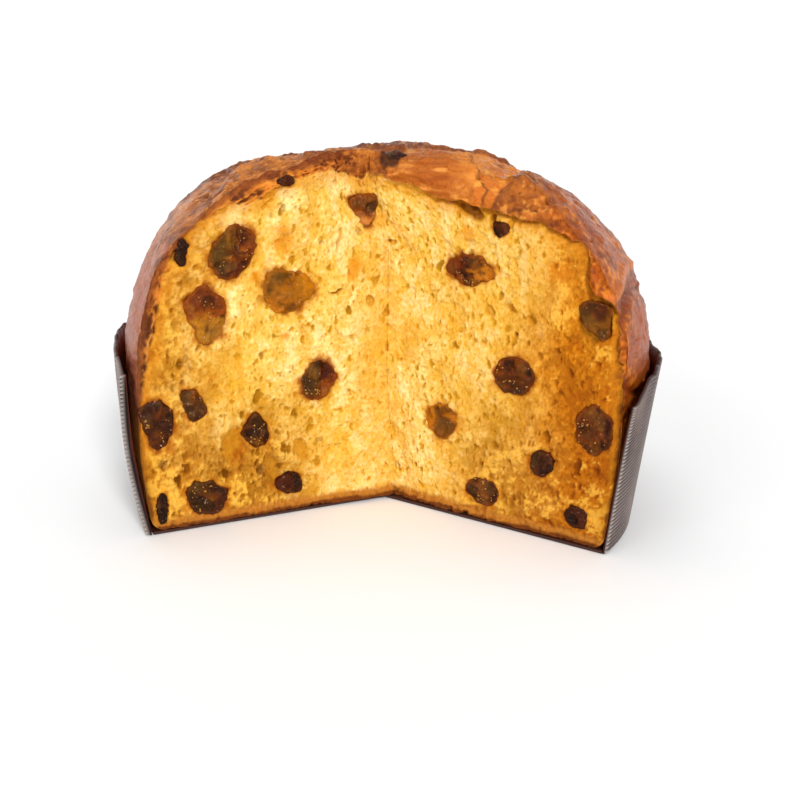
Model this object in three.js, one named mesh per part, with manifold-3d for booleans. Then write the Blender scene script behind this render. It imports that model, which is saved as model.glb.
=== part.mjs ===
// A low round panettone in its paper case, standing on its base, with a wide wedge cut out of the front.
// Millimetres, +Z up. The origin is on the axis of the round case, on the surface the case stands on.
// The front, where the wedge is missing, faces -Y.
import * as THREE from 'three';
import { mergeVertices } from 'three/addons/utils/BufferGeometryUtils.js';
import Module from 'manifold-3d';

const wasm = await Module();
wasm.setup();

// Driving sizes of the paper case
const RIM_RADIUS = 107;
const FOOT_RADIUS = 100.4;
const WALL_HEIGHT = 67;
const WALL_THICKNESS = 1.5;
const RIM_TORN_DOWN = 9;
const BASE_THICKNESS = 1.0;
const GAP = 0.35;

// Driving sizes of the bread
const BREAD_RADIUS = 101.4;
const SHOULDER_HEIGHT = 55;
const CROWN_HEIGHT = 139;
const DOME_POWER = 2.43;
const BOTTOM_ROUNDING = 5;
const LEFT_LEAN = 2.8;
const DOME_CENTRE = new THREE.Vector3(0, 0, 45);

// The missing wedge: two upright cuts that meet in a line just in front of the axis
const CUT_TIP = new THREE.Vector2(0, -7);
const LEFT_CUT_ANGLE = THREE.MathUtils.degToRad(180 + 24.85);
const RIGHT_CUT_ANGLE = THREE.MathUtils.degToRad(-30.8);
const CUT_DIRECTION = {
  left: new THREE.Vector2(Math.cos(LEFT_CUT_ANGLE), Math.sin(LEFT_CUT_ANGLE)),
  right: new THREE.Vector2(Math.cos(RIGHT_CUT_ANGLE), Math.sin(RIGHT_CUT_ANGLE)),
};
// Each cut's normal points out of the bread, into the missing wedge
const CUT_NORMAL = {
  left: new THREE.Vector2(-CUT_DIRECTION.left.y, CUT_DIRECTION.left.x),
  right: new THREE.Vector2(CUT_DIRECTION.right.y, -CUT_DIRECTION.right.x),
};

// Mesh steps
const BREAD_DETAIL = 14;
const PROFILE_STEPS = 24;
const CUT_STEPS_ALONG = 25;
const CUT_STEPS_UP = 29;
const WALL_STEPS = 56;

const smooth = (low, high, x) => THREE.MathUtils.smoothstep(x, low, high);

// Uneven bumps of about one pitch across: four waves in different directions, added up, from -1 to 1
function bumps(a, b, pitch, seed) {
  let sum = 0;
  for (let i = 0; i < 4; i++) {
    const turn = seed + i * 0.84;
    const along = a * Math.cos(turn) + b * Math.sin(turn);
    sum += Math.sin((2 * Math.PI * along) / (pitch * (1 + 0.17 * i)) + seed * (i + 1.3));
  }
  return sum / 4;
}

// The cross scored in the top opened in the oven. Each arm is a strip seen from above, wide at its start,
// and the crust stands up in flaps round them. The fourth arm lay in the missing wedge.
const CROSS_ARMS = [
  { from: [22, 0], to: [54, 40], wide: 27, narrow: 6 },
  { from: [26, -2], to: [37, -40], wide: 19, narrow: 7 },
  { from: [20, 2], to: [-40, 6], wide: 20, narrow: 4 },
];
const CROSS_DEPTH = 2.6;
const FLAP_RISE = 1.6;

// Distance outside the edge of the opened cross, negative within it
function distanceToCross(x, y) {
  const spot = new THREE.Vector2(x, y);
  const distances = CROSS_ARMS.map(({ from, to, wide, narrow }) => {
    const start = new THREE.Vector2(...from);
    const arm = new THREE.Vector2(...to).sub(start);
    const share = THREE.MathUtils.clamp(spot.clone().sub(start).dot(arm) / arm.lengthSq(), 0, 1);
    return start.addScaledVector(arm, share).distanceTo(spot) - THREE.MathUtils.lerp(wide, narrow, share) / 2;
  });
  return Math.min(...distances) + 1.3 * Math.sin(0.31 * x + 0.17 * y) + 0.8 * Math.sin(0.5 * y - 0.2 * x);
}

function crossRelief(x, y) {
  const distance = distanceToCross(x, y);
  const sunk = CROSS_DEPTH * (1 - smooth(-3, 1, distance));
  const flap = FLAP_RISE * smooth(-1, 3, distance) * (1 - smooth(5, 24, distance));
  return flap - sunk;
}

// How far the crust stands out of the smooth dome, at a share of the way up from its shoulder to its crown
function crustRelief(angle, share, x, y, z) {
  const belly = Math.sin(Math.PI * share);
  const lean = -LEFT_LEAN * Math.cos(angle) * belly;
  const lobes = 1.1 * Math.cos(3 * angle + 0.7) * belly + 0.8 * Math.cos(5 * angle + 2.1) * belly;
  const folds = 1.1 * bumps(x + 0.5 * z, y - 0.7 * z, 26, 1.7) * smooth(0, 0.15, share);
  const dimples = 0.5 * bumps(x, y, 17, 4.2) * share;
  return lean + lobes + folds + dimples + crossRelief(x, y) * smooth(0.25, 0.4, share);
}

// Radius and height on the smooth dome, a share of the way from its shoulder to its crown
function domePoint(share) {
  const turn = (share * Math.PI) / 2;
  return {
    radius: BREAD_RADIUS * Math.cos(turn) ** (2 / DOME_POWER),
    z: SHOULDER_HEIGHT + (CROWN_HEIGHT - SHOULDER_HEIGHT) * Math.sin(turn) ** (2 / DOME_POWER),
  };
}

// How far a spot lies inside the smooth dome, in millimetres
function depthInDome(radius, z) {
  const rise = Math.max(0, (z - SHOULDER_HEIGHT) / (CROWN_HEIGHT - SHOULDER_HEIGHT));
  const reach = ((radius / BREAD_RADIUS) ** DOME_POWER + rise ** DOME_POWER) ** (1 / DOME_POWER);
  return (1 - reach) * BREAD_RADIUS;
}

// Radius of the outside of the case's wall, which flares towards the rim
const wallOutside = (z) => THREE.MathUtils.lerp(FOOT_RADIUS, RIM_RADIUS, z / WALL_HEIGHT);

// The bread's profile, from the middle of its bottom out to the case, up its side and over the dome
function breadProfile() {
  const floor = BASE_THICKNESS + GAP;
  const wallInside = (z) => wallOutside(z) - WALL_THICKNESS - GAP;
  const profile = [{ radius: 0, z: floor, share: 0 }];
  for (let i = 0; i <= 4; i++) {
    const turn = (i * Math.PI) / 8;
    const z = floor + BOTTOM_ROUNDING * (1 - Math.cos(turn));
    profile.push({ radius: wallInside(z) - BOTTOM_ROUNDING * (1 - Math.sin(turn)), z, share: 0 });
  }
  for (const z of [25, 40]) {
    profile.push({ radius: Math.min(wallInside(z), BREAD_RADIUS), z, share: 0 });
  }
  for (let i = 0; i <= PROFILE_STEPS; i++) {
    profile.push({ ...domePoint(i / PROFILE_STEPS), share: i / PROFILE_STEPS });
  }
  return profile;
}

// A function that gives the point of the profile a share of the way along its length
function profileByLength(profile) {
  const lengths = [0];
  for (let i = 1; i < profile.length; i++) {
    const step = Math.hypot(profile[i].radius - profile[i - 1].radius, profile[i].z - profile[i - 1].z);
    lengths.push(lengths[i - 1] + step);
  }
  return (share) => {
    const target = share * lengths[lengths.length - 1];
    const i = Math.min(profile.length - 1, Math.max(1, lengths.findIndex((length) => length >= target)));
    const part = (target - lengths[i - 1]) / (lengths[i] - lengths[i - 1]);
    const mix = (key) => THREE.MathUtils.lerp(profile[i - 1][key], profile[i][key], part);
    return { radius: mix('radius'), z: mix('z'), share: mix('share') };
  };
}

// A closed mesh over rings that each go once round, with a point at each end
function closeRings(rings, firstPoint, lastPoint) {
  const positions = [firstPoint];
  for (const ring of rings) positions.push(...ring);
  positions.push(lastPoint);
  const count = rings[0].length;
  const last = positions.length - 1;
  const triangles = [];
  for (let j = 0; j < count; j++) {
    const next = (j + 1) % count;
    triangles.push([0, 1 + next, 1 + j]);
    for (let i = 0; i + 1 < rings.length; i++) {
      const a = 1 + i * count + j;
      const b = 1 + i * count + next;
      triangles.push([a, b, b + count], [a, b + count, a + count]);
    }
    const start = 1 + (rings.length - 1) * count;
    triangles.push([last, start + j, start + next]);
  }
  return { positions, triangles };
}

function solidFrom({ positions, triangles }) {
  const numbers = positions.flatMap((p) => [p.x, p.y, p.z]);
  const geometry = new THREE.BufferGeometry();
  geometry.setAttribute('position', new THREE.Float32BufferAttribute(numbers, 3));
  geometry.setIndex(triangles.flat());
  return solidFromGeometry(geometry);
}

function solidFromGeometry(geometry) {
  const bare = geometry.clone();
  bare.deleteAttribute('normal');
  bare.deleteAttribute('uv');
  const merged = mergeVertices(bare, 1e-4);
  return new wasm.Manifold(
    new wasm.Mesh({
      numProp: 3,
      vertProperties: new Float32Array(merged.attributes.position.array),
      triVerts: new Uint32Array(merged.index.array),
    }),
  );
}

// The largest piece of a solid, as a geometry: a cut can leave loose crumbs, which are dropped
function geometryFrom(solid) {
  const pieces = solid.decompose().sort((a, b) => b.volume() - a.volume());
  const mesh = pieces[0].getMesh();
  const geometry = new THREE.BufferGeometry();
  geometry.setAttribute('position', new THREE.BufferAttribute(new Float32Array(mesh.vertProperties), 3));
  geometry.setIndex(new THREE.BufferAttribute(new Uint32Array(mesh.triVerts), 1));
  geometry.computeVertexNormals();
  return geometry;
}

// The bread before it is cut: a ball whose meridians are laid along the profile, with the crust's relief
function wholeBread() {
  const profilePoint = profileByLength(breadProfile());
  const geometry = new THREE.IcosahedronGeometry(1, BREAD_DETAIL);
  const position = geometry.attributes.position;
  const point = new THREE.Vector3();
  for (let i = 0; i < position.count; i++) {
    point.fromBufferAttribute(position, i);
    const angle = Math.atan2(point.y, point.x);
    const fromBottom = Math.acos(THREE.MathUtils.clamp(-point.z, -1, 1)) / Math.PI;
    const { radius, z, share } = profilePoint(fromBottom);
    point.set(radius * Math.cos(angle), radius * Math.sin(angle), z);
    const outward = point.clone().sub(DOME_CENTRE).normalize();
    point.addScaledVector(outward, crustRelief(angle, share, point.x, point.y, z));
    position.setXYZ(i, point.x, point.y, point.z);
  }
  return solidFromGeometry(geometry);
}

// The crust curls over the edge of each cut: how far down it reaches there, by distance from the crease
const CURL = {
  left: (along) => 5.5 - 4 * smooth(45, 75, along),
  right: (along) => 5.5 + 7 * smooth(8, 38, along) - 10 * smooth(44, 78, along),
};

// Relief of a cut face: coarse holes and torn ridges of the crumb, calm at the crease, and the crust's curl
function crumbRelief(side, along, z) {
  const seed = side === 'left' ? 0.6 : 2.9;
  const coarse = 0.9 * bumps(along, z * 0.75, 13, seed);
  const fine = 0.55 * bumps(along, z * 0.8, 8.7, seed + 1.1);
  const spot = CUT_DIRECTION[side].clone().multiplyScalar(along).add(CUT_TIP);
  const curl = CURL[side](along);
  const inward = 1 - THREE.MathUtils.clamp(depthInDome(spot.length(), z) / curl, 0, 1);
  return (coarse + fine) * smooth(0, 12, along) - 0.85 * curl * inward ** 2;
}

// The line where the cuts meet wanders as the bread tore there
const creaseShift = (z) => -7.5 * smooth(-132, -105, -z) + 4 * smooth(-60, 0, -z);

function cutPoint(side, along, z, out) {
  const d = CUT_DIRECTION[side];
  const n = CUT_NORMAL[side];
  const nearTip = 1 - smooth(0, 34, along);
  return new THREE.Vector3(
    CUT_TIP.x + d.x * along + n.x * out + creaseShift(z) * nearTip,
    CUT_TIP.y + d.y * along + n.y * out,
    z,
  );
}

// The missing wedge as a solid to take away, with the crumb's relief on its two sides. It passes all the way
// through the bread: from below the base to above the crown, and out past the rim.
function missingWedge() {
  const reach = 124;
  const low = -6;
  const high = 156;
  const front = -180;
  const rings = [];
  for (let row = 0; row <= CUT_STEPS_UP; row++) {
    const z = low + ((high - low) * row) / CUT_STEPS_UP;
    const ring = [];
    for (let i = CUT_STEPS_ALONG; i > 0; i--) {
      const along = (reach * i) / CUT_STEPS_ALONG;
      ring.push(cutPoint('left', along, z, crumbRelief('left', along, z)));
    }
    ring.push(cutPoint('left', 0, z, crumbRelief('left', 0, z)));
    for (let i = 1; i <= CUT_STEPS_ALONG; i++) {
      const along = (reach * i) / CUT_STEPS_ALONG;
      ring.push(cutPoint('right', along, z, crumbRelief('right', along, z)));
    }
    ring.push(new THREE.Vector3(reach, front, z), new THREE.Vector3(-reach, front, z));
    rings.push(ring.reverse());
  }
  const middle = front / 2;
  return solidFrom(closeRings(rings, new THREE.Vector3(0, middle, low), new THREE.Vector3(0, middle, high)));
}

// Fruit in each cut face. along: from the crease towards the case. up: above the table.
// wide, tall, deep: full sizes. turn: degrees anticlockwise, seen from the missing wedge.
// detail: how finely the blob is faceted.
const FRUIT = {
  left: [
    { name: 'fig_upper_left', along: 62, up: 106, wide: 19, tall: 20, deep: 15, turn: 15, detail: 2 },
    { name: 'amber_peel_left', along: 40, up: 89.5, wide: 21, tall: 16, deep: 14, turn: -8, detail: 2 },
    { name: 'fig_shoulder_left', along: 73, up: 84, wide: 14, tall: 24, deep: 14, turn: 12, detail: 2 },
    { name: 'fig_middle_left', along: 28.5, up: 54, wide: 16, tall: 17, deep: 14, turn: 20, detail: 2 },
    { name: 'peel_strip_left', along: 78, up: 50, wide: 9, tall: 20, deep: 9, turn: 20, detail: 1 },
    { name: 'fig_low_middle', along: 54, up: 36, wide: 10, tall: 16, deep: 11, turn: 8, detail: 1 },
    { name: 'fig_by_case_left', along: 92, up: 44, wide: 14, tall: 26, deep: 14, turn: 8, detail: 2 },
    { name: 'fig_low_left', along: 74, up: 13.5, wide: 17, tall: 15, deep: 14, turn: 0, detail: 2 },
    { name: 'raisin_low_middle', along: 41, up: 12.5, wide: 13, tall: 10, deep: 10, turn: -8, detail: 1 },
    { name: 'peel_near_crease', along: 9, up: 117, wide: 11, tall: 14, deep: 9, turn: 0, detail: 1 },
    { name: 'raisin_crust_left', along: 80.5, up: 109, wide: 5.5, tall: 11, deep: 8, turn: -18, detail: 1 },
    { name: 'raisin_crown_left', along: 41, up: 130, wide: 8, tall: 4.5, deep: 8, turn: -10, detail: 1 },
    { name: 'raisin_corner_left', along: 91.5, up: 10, wide: 4.5, tall: 13, deep: 9, turn: 6, detail: 1 },
  ],
  right: [
    { name: 'fig_upper_right', along: 36, up: 99.5, wide: 23, tall: 13, deep: 14, turn: -8, detail: 2 },
    { name: 'raisin_crown_right', along: 47.5, up: 115.5, wide: 7, tall: 6, deep: 8, turn: 0, detail: 1 },
    { name: 'peel_shoulder_right', along: 83.5, up: 89, wide: 14, tall: 17, deep: 13, turn: -20, detail: 2 },
    { name: 'fig_low_right', along: 55, up: 62, wide: 17, tall: 15, deep: 13, turn: 25, detail: 1 },
    { name: 'amber_peel_right', along: 26, up: 38, wide: 15, tall: 14, deep: 12, turn: -15, detail: 1 },
    { name: 'fig_by_case_right', along: 88, up: 47, wide: 15, tall: 19, deep: 13, turn: -10, detail: 1 },
    { name: 'raisin_low_right', along: 68, up: 30, wide: 11, tall: 9, deep: 9, turn: 30, detail: 1 },
    { name: 'fig_foot_right', along: 45, up: 13, wide: 16, tall: 12, deep: 12, turn: 5, detail: 1 },
    { name: 'raisin_foot_right', along: 84, up: 12, wide: 10, tall: 9, deep: 9, turn: -25, detail: 1 },
  ],
};

// Raisins that the crust baked round, out on the dome: degrees round the axis, and share of the way up
const CRUST_RAISINS = [
  { name: 'raisin_crown_front', angle: -60, share: 0.985, size: 9 },
  { name: 'raisin_dome_right', angle: 12, share: 0.45, size: 9 },
  { name: 'raisin_dome_back', angle: 78, share: 0.52, size: 10 },
  { name: 'raisin_dome_back_left', angle: 128, share: 0.36, size: 9 },
  { name: 'raisin_dome_left', angle: 172, share: 0.5, size: 9 },
];

// A fruit stands this far out of the cut face
const FACE_SHOWS = 0.7;
// The knife shaves a fruit this share of its depth in front of its middle
const SHAVED_AT = 0.28;
// A raisin's middle lies this share of its size inside the crust
const RAISIN_SUNK = 0.2;
const RAISIN_SHAPE = new THREE.Vector3(1.15, 0.95, 0.8);

// A fruit blob: a ball stretched to its sizes, with lumps, and shaved flat by the knife at one height
function blob(size, turn, lumps, shave, detail, seed) {
  const geometry = new THREE.IcosahedronGeometry(1, detail);
  geometry.deleteAttribute('normal');
  geometry.deleteAttribute('uv');
  const merged = mergeVertices(geometry, 1e-4);
  const position = merged.attributes.position;
  const point = new THREE.Vector3();
  for (let i = 0; i < position.count; i++) {
    point.fromBufferAttribute(position, i);
    const squareness = [point.x, point.y, point.z].reduce((sum, c) => sum + Math.abs(c) ** 3, 0) ** (-1 / 3);
    const lump = 1 + lumps * bumps(point.x + 0.6 * point.z, point.y - 0.5 * point.z, 1.3, seed);
    point.multiplyScalar(squareness * lump * 0.93).multiply(size).multiplyScalar(0.5);
    point.applyAxisAngle(new THREE.Vector3(0, 0, 1), turn);
    point.z = Math.min(point.z, shave + 0.25 * bumps(point.x, point.y, 6, seed));
    position.setXYZ(i, point.x, point.y, point.z);
  }
  return merged;
}

// The fruit's x axis goes to the right and its z axis out of the cut, seen from the missing wedge
function placeInCut(geometry, side, fruit) {
  const d = CUT_DIRECTION[side];
  const n = CUT_NORMAL[side];
  const flip = side === 'left' ? -1 : 1;
  const middle = cutPoint(side, fruit.along, fruit.up, FACE_SHOWS - SHAVED_AT * fruit.deep);
  const matrix = new THREE.Matrix4().makeBasis(
    new THREE.Vector3(d.x * flip, d.y * flip, 0),
    new THREE.Vector3(0, 0, 1),
    new THREE.Vector3(n.x, n.y, 0),
  );
  return geometry.applyMatrix4(matrix.setPosition(middle));
}

function fruitGeometry(side, fruit, seed, grow) {
  const size = new THREE.Vector3(fruit.wide, fruit.tall, fruit.deep).addScalar(2 * grow);
  const turn = THREE.MathUtils.degToRad(fruit.turn);
  const shave = SHAVED_AT * fruit.deep + grow;
  return placeInCut(blob(size, turn, 0.16, shave, fruit.detail, seed), side, fruit);
}

function raisinGeometry(raisin, index, grow) {
  const angle = THREE.MathUtils.degToRad(raisin.angle);
  const { radius, z } = domePoint(raisin.share);
  const spot = new THREE.Vector3(radius * Math.cos(angle), radius * Math.sin(angle), z);
  const outward = spot.clone().sub(DOME_CENTRE).normalize();
  const relief = crustRelief(angle, raisin.share, spot.x, spot.y, z);
  spot.addScaledVector(outward, relief - RAISIN_SUNK * raisin.size);
  const size = RAISIN_SHAPE.clone().multiplyScalar(raisin.size).addScalar(2 * grow);
  const geometry = blob(size, index, 0.12, raisin.size, 1, 5 + index);
  const facing = new THREE.Quaternion().setFromUnitVectors(new THREE.Vector3(0, 0, 1), outward);
  return geometry.applyMatrix4(new THREE.Matrix4().compose(spot, facing, new THREE.Vector3(1, 1, 1)));
}

// Where a cut line leaves a circle round the axis: the angle of that point
function cutAngle(side, radius) {
  const d = CUT_DIRECTION[side];
  const b = CUT_TIP.dot(d);
  const along = -b + Math.sqrt(b * b - CUT_TIP.lengthSq() + radius * radius);
  return Math.atan2(CUT_TIP.y + d.y * along, CUT_TIP.x + d.x * along);
}

// The case's wall: a ring of paper, open at the missing wedge, wavy and torn down a little at the cut ends
function paperWall() {
  const rows = [0, 0.33, 0.67, 0.9, 1];
  const section = [
    ...rows.map((share) => ({ share, inset: 0 })),
    ...rows.toReversed().map((share) => ({ share, inset: WALL_THICKNESS })),
  ];
  const positions = [];
  for (let i = 0; i <= WALL_STEPS; i++) {
    const way = i / WALL_STEPS;
    const fromEnd = Math.min(way, 1 - way);
    const tornDown = RIM_TORN_DOWN * (1 - smooth(0, 0.035, fromEnd));
    for (const { share, inset } of section) {
      const rim = WALL_HEIGHT + 0.9 * Math.sin(way * 31) + 0.5 * Math.sin(way * 77 + 2) - tornDown;
      const z = rim * share;
      const start = cutAngle('right', wallOutside(z));
      const end = cutAngle('left', wallOutside(z)) + 2 * Math.PI;
      const angle = start + (end - start) * way;
      const wave = 0.8 * share ** 3 * Math.sin(way * 24 + 1);
      const radius = wallOutside(z) - inset + wave;
      positions.push(new THREE.Vector3(radius * Math.cos(angle), radius * Math.sin(angle), z));
    }
  }
  const count = section.length;
  const triangles = [];
  for (let i = 0; i < WALL_STEPS; i++) {
    for (let j = 0; j < count; j++) {
      const next = (j + 1) % count;
      const a = i * count + j;
      const b = i * count + next;
      triangles.push([a, a + count, b + count], [a, b + count, b]);
    }
  }
  const endStart = WALL_STEPS * count;
  for (let j = 0; j + 1 < rows.length; j++) {
    const a = j;
    const b = j + 1;
    const c = count - 2 - j;
    const d = count - 1 - j;
    triangles.push([a, b, c], [a, c, d]);
    triangles.push([endStart + a, endStart + c, endStart + b], [endStart + a, endStart + d, endStart + c]);
  }
  return geometryFrom(solidFrom({ positions, triangles }));
}

// The case's base: a flat plate inside the foot of the wall, cut along with the bread
function paperBase() {
  const radius = FOOT_RADIUS - WALL_THICKNESS - GAP;
  const start = cutAngle('right', radius);
  const end = cutAngle('left', radius) + 2 * Math.PI;
  const outline = new THREE.Shape([CUT_TIP.clone()]);
  for (let i = 0; i <= WALL_STEPS; i++) {
    const angle = start + ((end - start) * i) / WALL_STEPS;
    outline.lineTo(radius * Math.cos(angle), radius * Math.sin(angle));
  }
  const plate = new THREE.ExtrudeGeometry(outline, { depth: BASE_THICKNESS, bevelEnabled: false });
  return geometryFrom(solidFromGeometry(plate));
}

const finish = (color, roughness) => new THREE.MeshStandardMaterial({ color, roughness, metalness: 0 });
const FINISH = {
  bread: finish(0xe6ae45, 0.85),
  paper: finish(0x3a1d18, 0.6),
  fig: finish(0x4a2313, 0.4),
  peel: finish(0x9a5a18, 0.35),
  raisin: finish(0x2a150f, 0.5),
};

const panettone = new THREE.Group();

function addPart(name, geometry, material) {
  const mesh = new THREE.Mesh(geometry, material);
  mesh.name = name;
  panettone.add(mesh);
}

function finishOf(name) {
  if (name.startsWith('fig')) return FINISH.fig;
  return name.includes('peel') ? FINISH.peel : FINISH.raisin;
}

let bread = wholeBread().subtract(missingWedge());
for (const [side, fruits] of Object.entries(FRUIT)) {
  fruits.forEach((fruit, index) => {
    const seed = 1 + 0.7 * index + (side === 'right' ? 9.1 : 0);
    bread = bread.subtract(solidFromGeometry(fruitGeometry(side, fruit, seed, GAP)));
    addPart(fruit.name, fruitGeometry(side, fruit, seed, 0), finishOf(fruit.name));
  });
}
CRUST_RAISINS.forEach((raisin, index) => {
  bread = bread.subtract(solidFromGeometry(raisinGeometry(raisin, index, GAP)));
  addPart(raisin.name, raisinGeometry(raisin, index, 0), FINISH.raisin);
});

addPart('bread', geometryFrom(bread), FINISH.bread);
addPart('paper_wall', paperWall(), FINISH.paper);
addPart('paper_base', paperBase(), FINISH.paper);

export default panettone;
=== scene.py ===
# %% [markdown]
# # A cut panettone in its paper case
# A panettone is a tall sweet bread that bakes in a paper case and is sold in it. This one is a low
# round of about a kilogram, with a wide wedge already cut out, so it shows every surface it has:
# the torn yellow crumb, the baked crust, the moist fruit and the ribbed brown paper.
# The lesson builds each surface with numpy arrays, and paints it from the same arrays, so that
# colour and shape always agree: a deep hole is painted dark because it is deep, as painted shade.

# %% Load the fixed frame
import bpy
import numpy as np
from mathutils import Matrix, Vector


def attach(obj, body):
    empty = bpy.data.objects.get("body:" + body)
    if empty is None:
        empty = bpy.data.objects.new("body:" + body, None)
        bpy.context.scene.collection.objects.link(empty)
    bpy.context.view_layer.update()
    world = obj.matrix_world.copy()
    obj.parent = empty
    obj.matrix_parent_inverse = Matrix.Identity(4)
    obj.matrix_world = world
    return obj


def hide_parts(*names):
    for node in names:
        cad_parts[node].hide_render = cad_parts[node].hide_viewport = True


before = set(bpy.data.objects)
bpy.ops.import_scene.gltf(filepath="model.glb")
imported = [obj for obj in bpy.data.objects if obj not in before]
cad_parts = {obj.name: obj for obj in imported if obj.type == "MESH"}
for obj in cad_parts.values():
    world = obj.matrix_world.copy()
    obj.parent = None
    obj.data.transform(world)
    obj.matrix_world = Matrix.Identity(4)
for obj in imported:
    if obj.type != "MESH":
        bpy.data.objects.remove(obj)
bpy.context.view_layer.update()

# %% [markdown]
# ## Sizes
# Everything is worked out in millimetres and turned to metres only when a mesh is made.
# The two cuts meet in a line just in front of the middle. Seen from above, each cut has a direction,
# from that line towards the case, and a normal, out of the bread into the missing wedge.

# %% Driving sizes, in millimetres
MM = 0.001
RIM_RADIUS, FOOT_RADIUS, WALL_HEIGHT, WALL_THICKNESS = 107.0, 100.4, 67.0, 1.5
BASE_THICKNESS, GAP = 1.0, 0.35
BREAD_RADIUS, SHOULDER, CROWN, DOME_POWER = 101.4, 55.0, 139.0, 2.43
BOTTOM_ROUNDING, LEFT_LEAN = 5.0, 0.4
BREAD_FLOOR = BASE_THICKNESS + GAP
DOME_CENTRE = np.array([0.0, 0.0, 45.0])
CUT_TIP = np.array([0.0, -7.0, 0.0])
LEFT_CUT, RIGHT_CUT = np.radians(180 + 24.85), np.radians(-30.8)
CUT_ALONG = {"left": np.array([np.cos(LEFT_CUT), np.sin(LEFT_CUT), 0.0]),
             "right": np.array([np.cos(RIGHT_CUT), np.sin(RIGHT_CUT), 0.0])}
CUT_OUT = {"left": np.array([-np.sin(LEFT_CUT), np.cos(LEFT_CUT), 0.0]),
           "right": np.array([np.sin(RIGHT_CUT), -np.cos(RIGHT_CUT), 0.0])}
opening = (LEFT_CUT - RIGHT_CUT) / 2
INTO_BREAD = np.array([np.cos(RIGHT_CUT + opening), np.sin(RIGHT_CUT + opening), 0.0])
BOTH_CUTS = -INTO_BREAD / np.sin(opening)
print("bread kept, degrees", round(float(np.degrees(2 * opening)), 1))

# %% [markdown]
# ## Small tools for arrays
# Noise in Blender usually lives in a material. Here it moves real points too, so it is written in
# numpy: a whole number lattice is hashed to random values, and the values are blended smoothly in
# between. Cells are the other basic pattern: each square of a lattice holds one point, and the
# distance to the nearest ones draws bubbles and blisters.


# %% Noise and cells
def smooth(low, high, x):
    """Smooth step: 0 below low, 1 above high, and 3tt - 2ttt between, with t the share of the way."""
    t = np.clip((x - low) / (high - low), 0, 1)
    return t * t * (3 - 2 * t)


def mix(a, b, t):
    """Blend of a and b: a where t is 0, b where t is 1."""
    return a + (b - a) * t


def flat_at(a, b):
    """Points of a plane, from their two places on it, in the three numbers that the noise reads."""
    return np.stack([a, b, 0 * b], -1)


def hash01(i, j, k, seed):
    """One repeatable random number from 0 to 1 for each lattice point, by mixing the bits of i, j and k."""
    h = (i * 374761393 + j * 668265263 + k * 2246822519 + seed * 3266489917) & 0xFFFFFFFF
    h = ((h ^ (h >> 13)) * 1274126177) & 0xFFFFFFFF
    h = ((h ^ (h >> 15)) * 2654435 + 97) & 0xFFFFFFFF
    return ((h ^ (h >> 11)) & 0xFFFFFF) / 0xFFFFFF


def noise(p, pitch, seed):
    """Smooth noise from -1 to 1: random values at lattice points pitch apart, blended by smooth weights."""
    q = p / pitch
    cell = np.floor(q).astype(np.int64)
    f = q - cell
    w = f * f * f * (f * (f * 6 - 15) + 10)
    total = np.zeros(p.shape[:-1])
    for corner in range(8):
        di, dj, dk = corner & 1, (corner >> 1) & 1, corner >> 2
        weight = np.where(di, w[..., 0], 1 - w[..., 0])
        weight = weight * np.where(dj, w[..., 1], 1 - w[..., 1])
        weight = weight * np.where(dk, w[..., 2], 1 - w[..., 2])
        total += weight * hash01(cell[..., 0] + di, cell[..., 1] + dj, cell[..., 2] + dk, seed)
    return 2 * total - 1


def layers(p, pitch, seed, count=3, gain=0.55):
    """Noise added up over count scales, each half the pitch and gain times the height of the last."""
    total, weight = 0, 1.0
    for octave in range(count):
        total = total + weight * noise(p, pitch / 2 ** octave, seed + 17 * octave)
        weight *= gain
    return total


def ridges(p, pitch, seed, count=3, gain=0.55):
    """Sharp crests where noise crosses zero: 1 on a crest, falling to 0 between, added over scales."""
    total, weight, full = 0, 1.0, 0.0
    for octave in range(count):
        crest = 1 - np.abs(noise(p, pitch / 2 ** octave, seed + 17 * octave)) * 1.6
        total = total + weight * np.clip(crest, 0, 1)
        full += weight
        weight *= gain
    return total / full


def bubbles(u, v, pitch, seed, small, large, share):
    """Depth of round holes scattered on a plane: the deepest half ball of radius small..large over
    each spot, one centre in each lattice square of the given pitch, kept with the chance share."""
    ci, cj = np.floor(u / pitch).astype(np.int64), np.floor(v / pitch).astype(np.int64)
    deepest = np.zeros_like(u)
    for di in (-1, 0, 1):
        for dj in (-1, 0, 1):
            i, j = ci + di, cj + dj
            x = (i + hash01(i, j, 0 * i, seed)) * pitch
            y = (j + hash01(i, j, 0 * i + 1, seed)) * pitch
            radius = mix(small, large, hash01(i, j, 0 * i + 2, seed) ** 2)
            kept = hash01(i, j, 0 * i + 3, seed) < share
            reach = 1 - ((u - x) ** 2 + (v - y) ** 2) / radius ** 2
            deepest = np.maximum(deepest, np.where(kept, radius * np.sqrt(np.clip(reach, 0, 1)), 0))
    return deepest


def cell_edges(u, v, pitch, seed):
    """Web between cells: distance to the second nearest scattered point less that to the nearest,
    in pitches, so 0 on the web and about 1 in the middle of a cell."""
    ci, cj = np.floor(u / pitch).astype(np.int64), np.floor(v / pitch).astype(np.int64)
    first, second = np.full_like(u, 9.0), np.full_like(u, 9.0)
    for di in (-1, 0, 1):
        for dj in (-1, 0, 1):
            i, j = ci + di, cj + dj
            x = i + hash01(i, j, 0 * i, seed)
            y = j + hash01(i, j, 0 * i + 1, seed)
            d = np.hypot(u / pitch - x, v / pitch - y)
            second = np.minimum(second, np.maximum(first, d))
            first = np.minimum(first, d)
    return second - first


def bumps(a, b, pitch, seed):
    """Broad unevenness from -1 to 1: four sine waves in different directions, averaged."""
    total = 0
    for i in range(4):
        turn = seed + i * 0.84
        along = a * np.cos(turn) + b * np.sin(turn)
        total = total + np.sin(2 * np.pi * along / (pitch * (1 + 0.17 * i)) + seed * (i + 1.3))
    return total / 4


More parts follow.
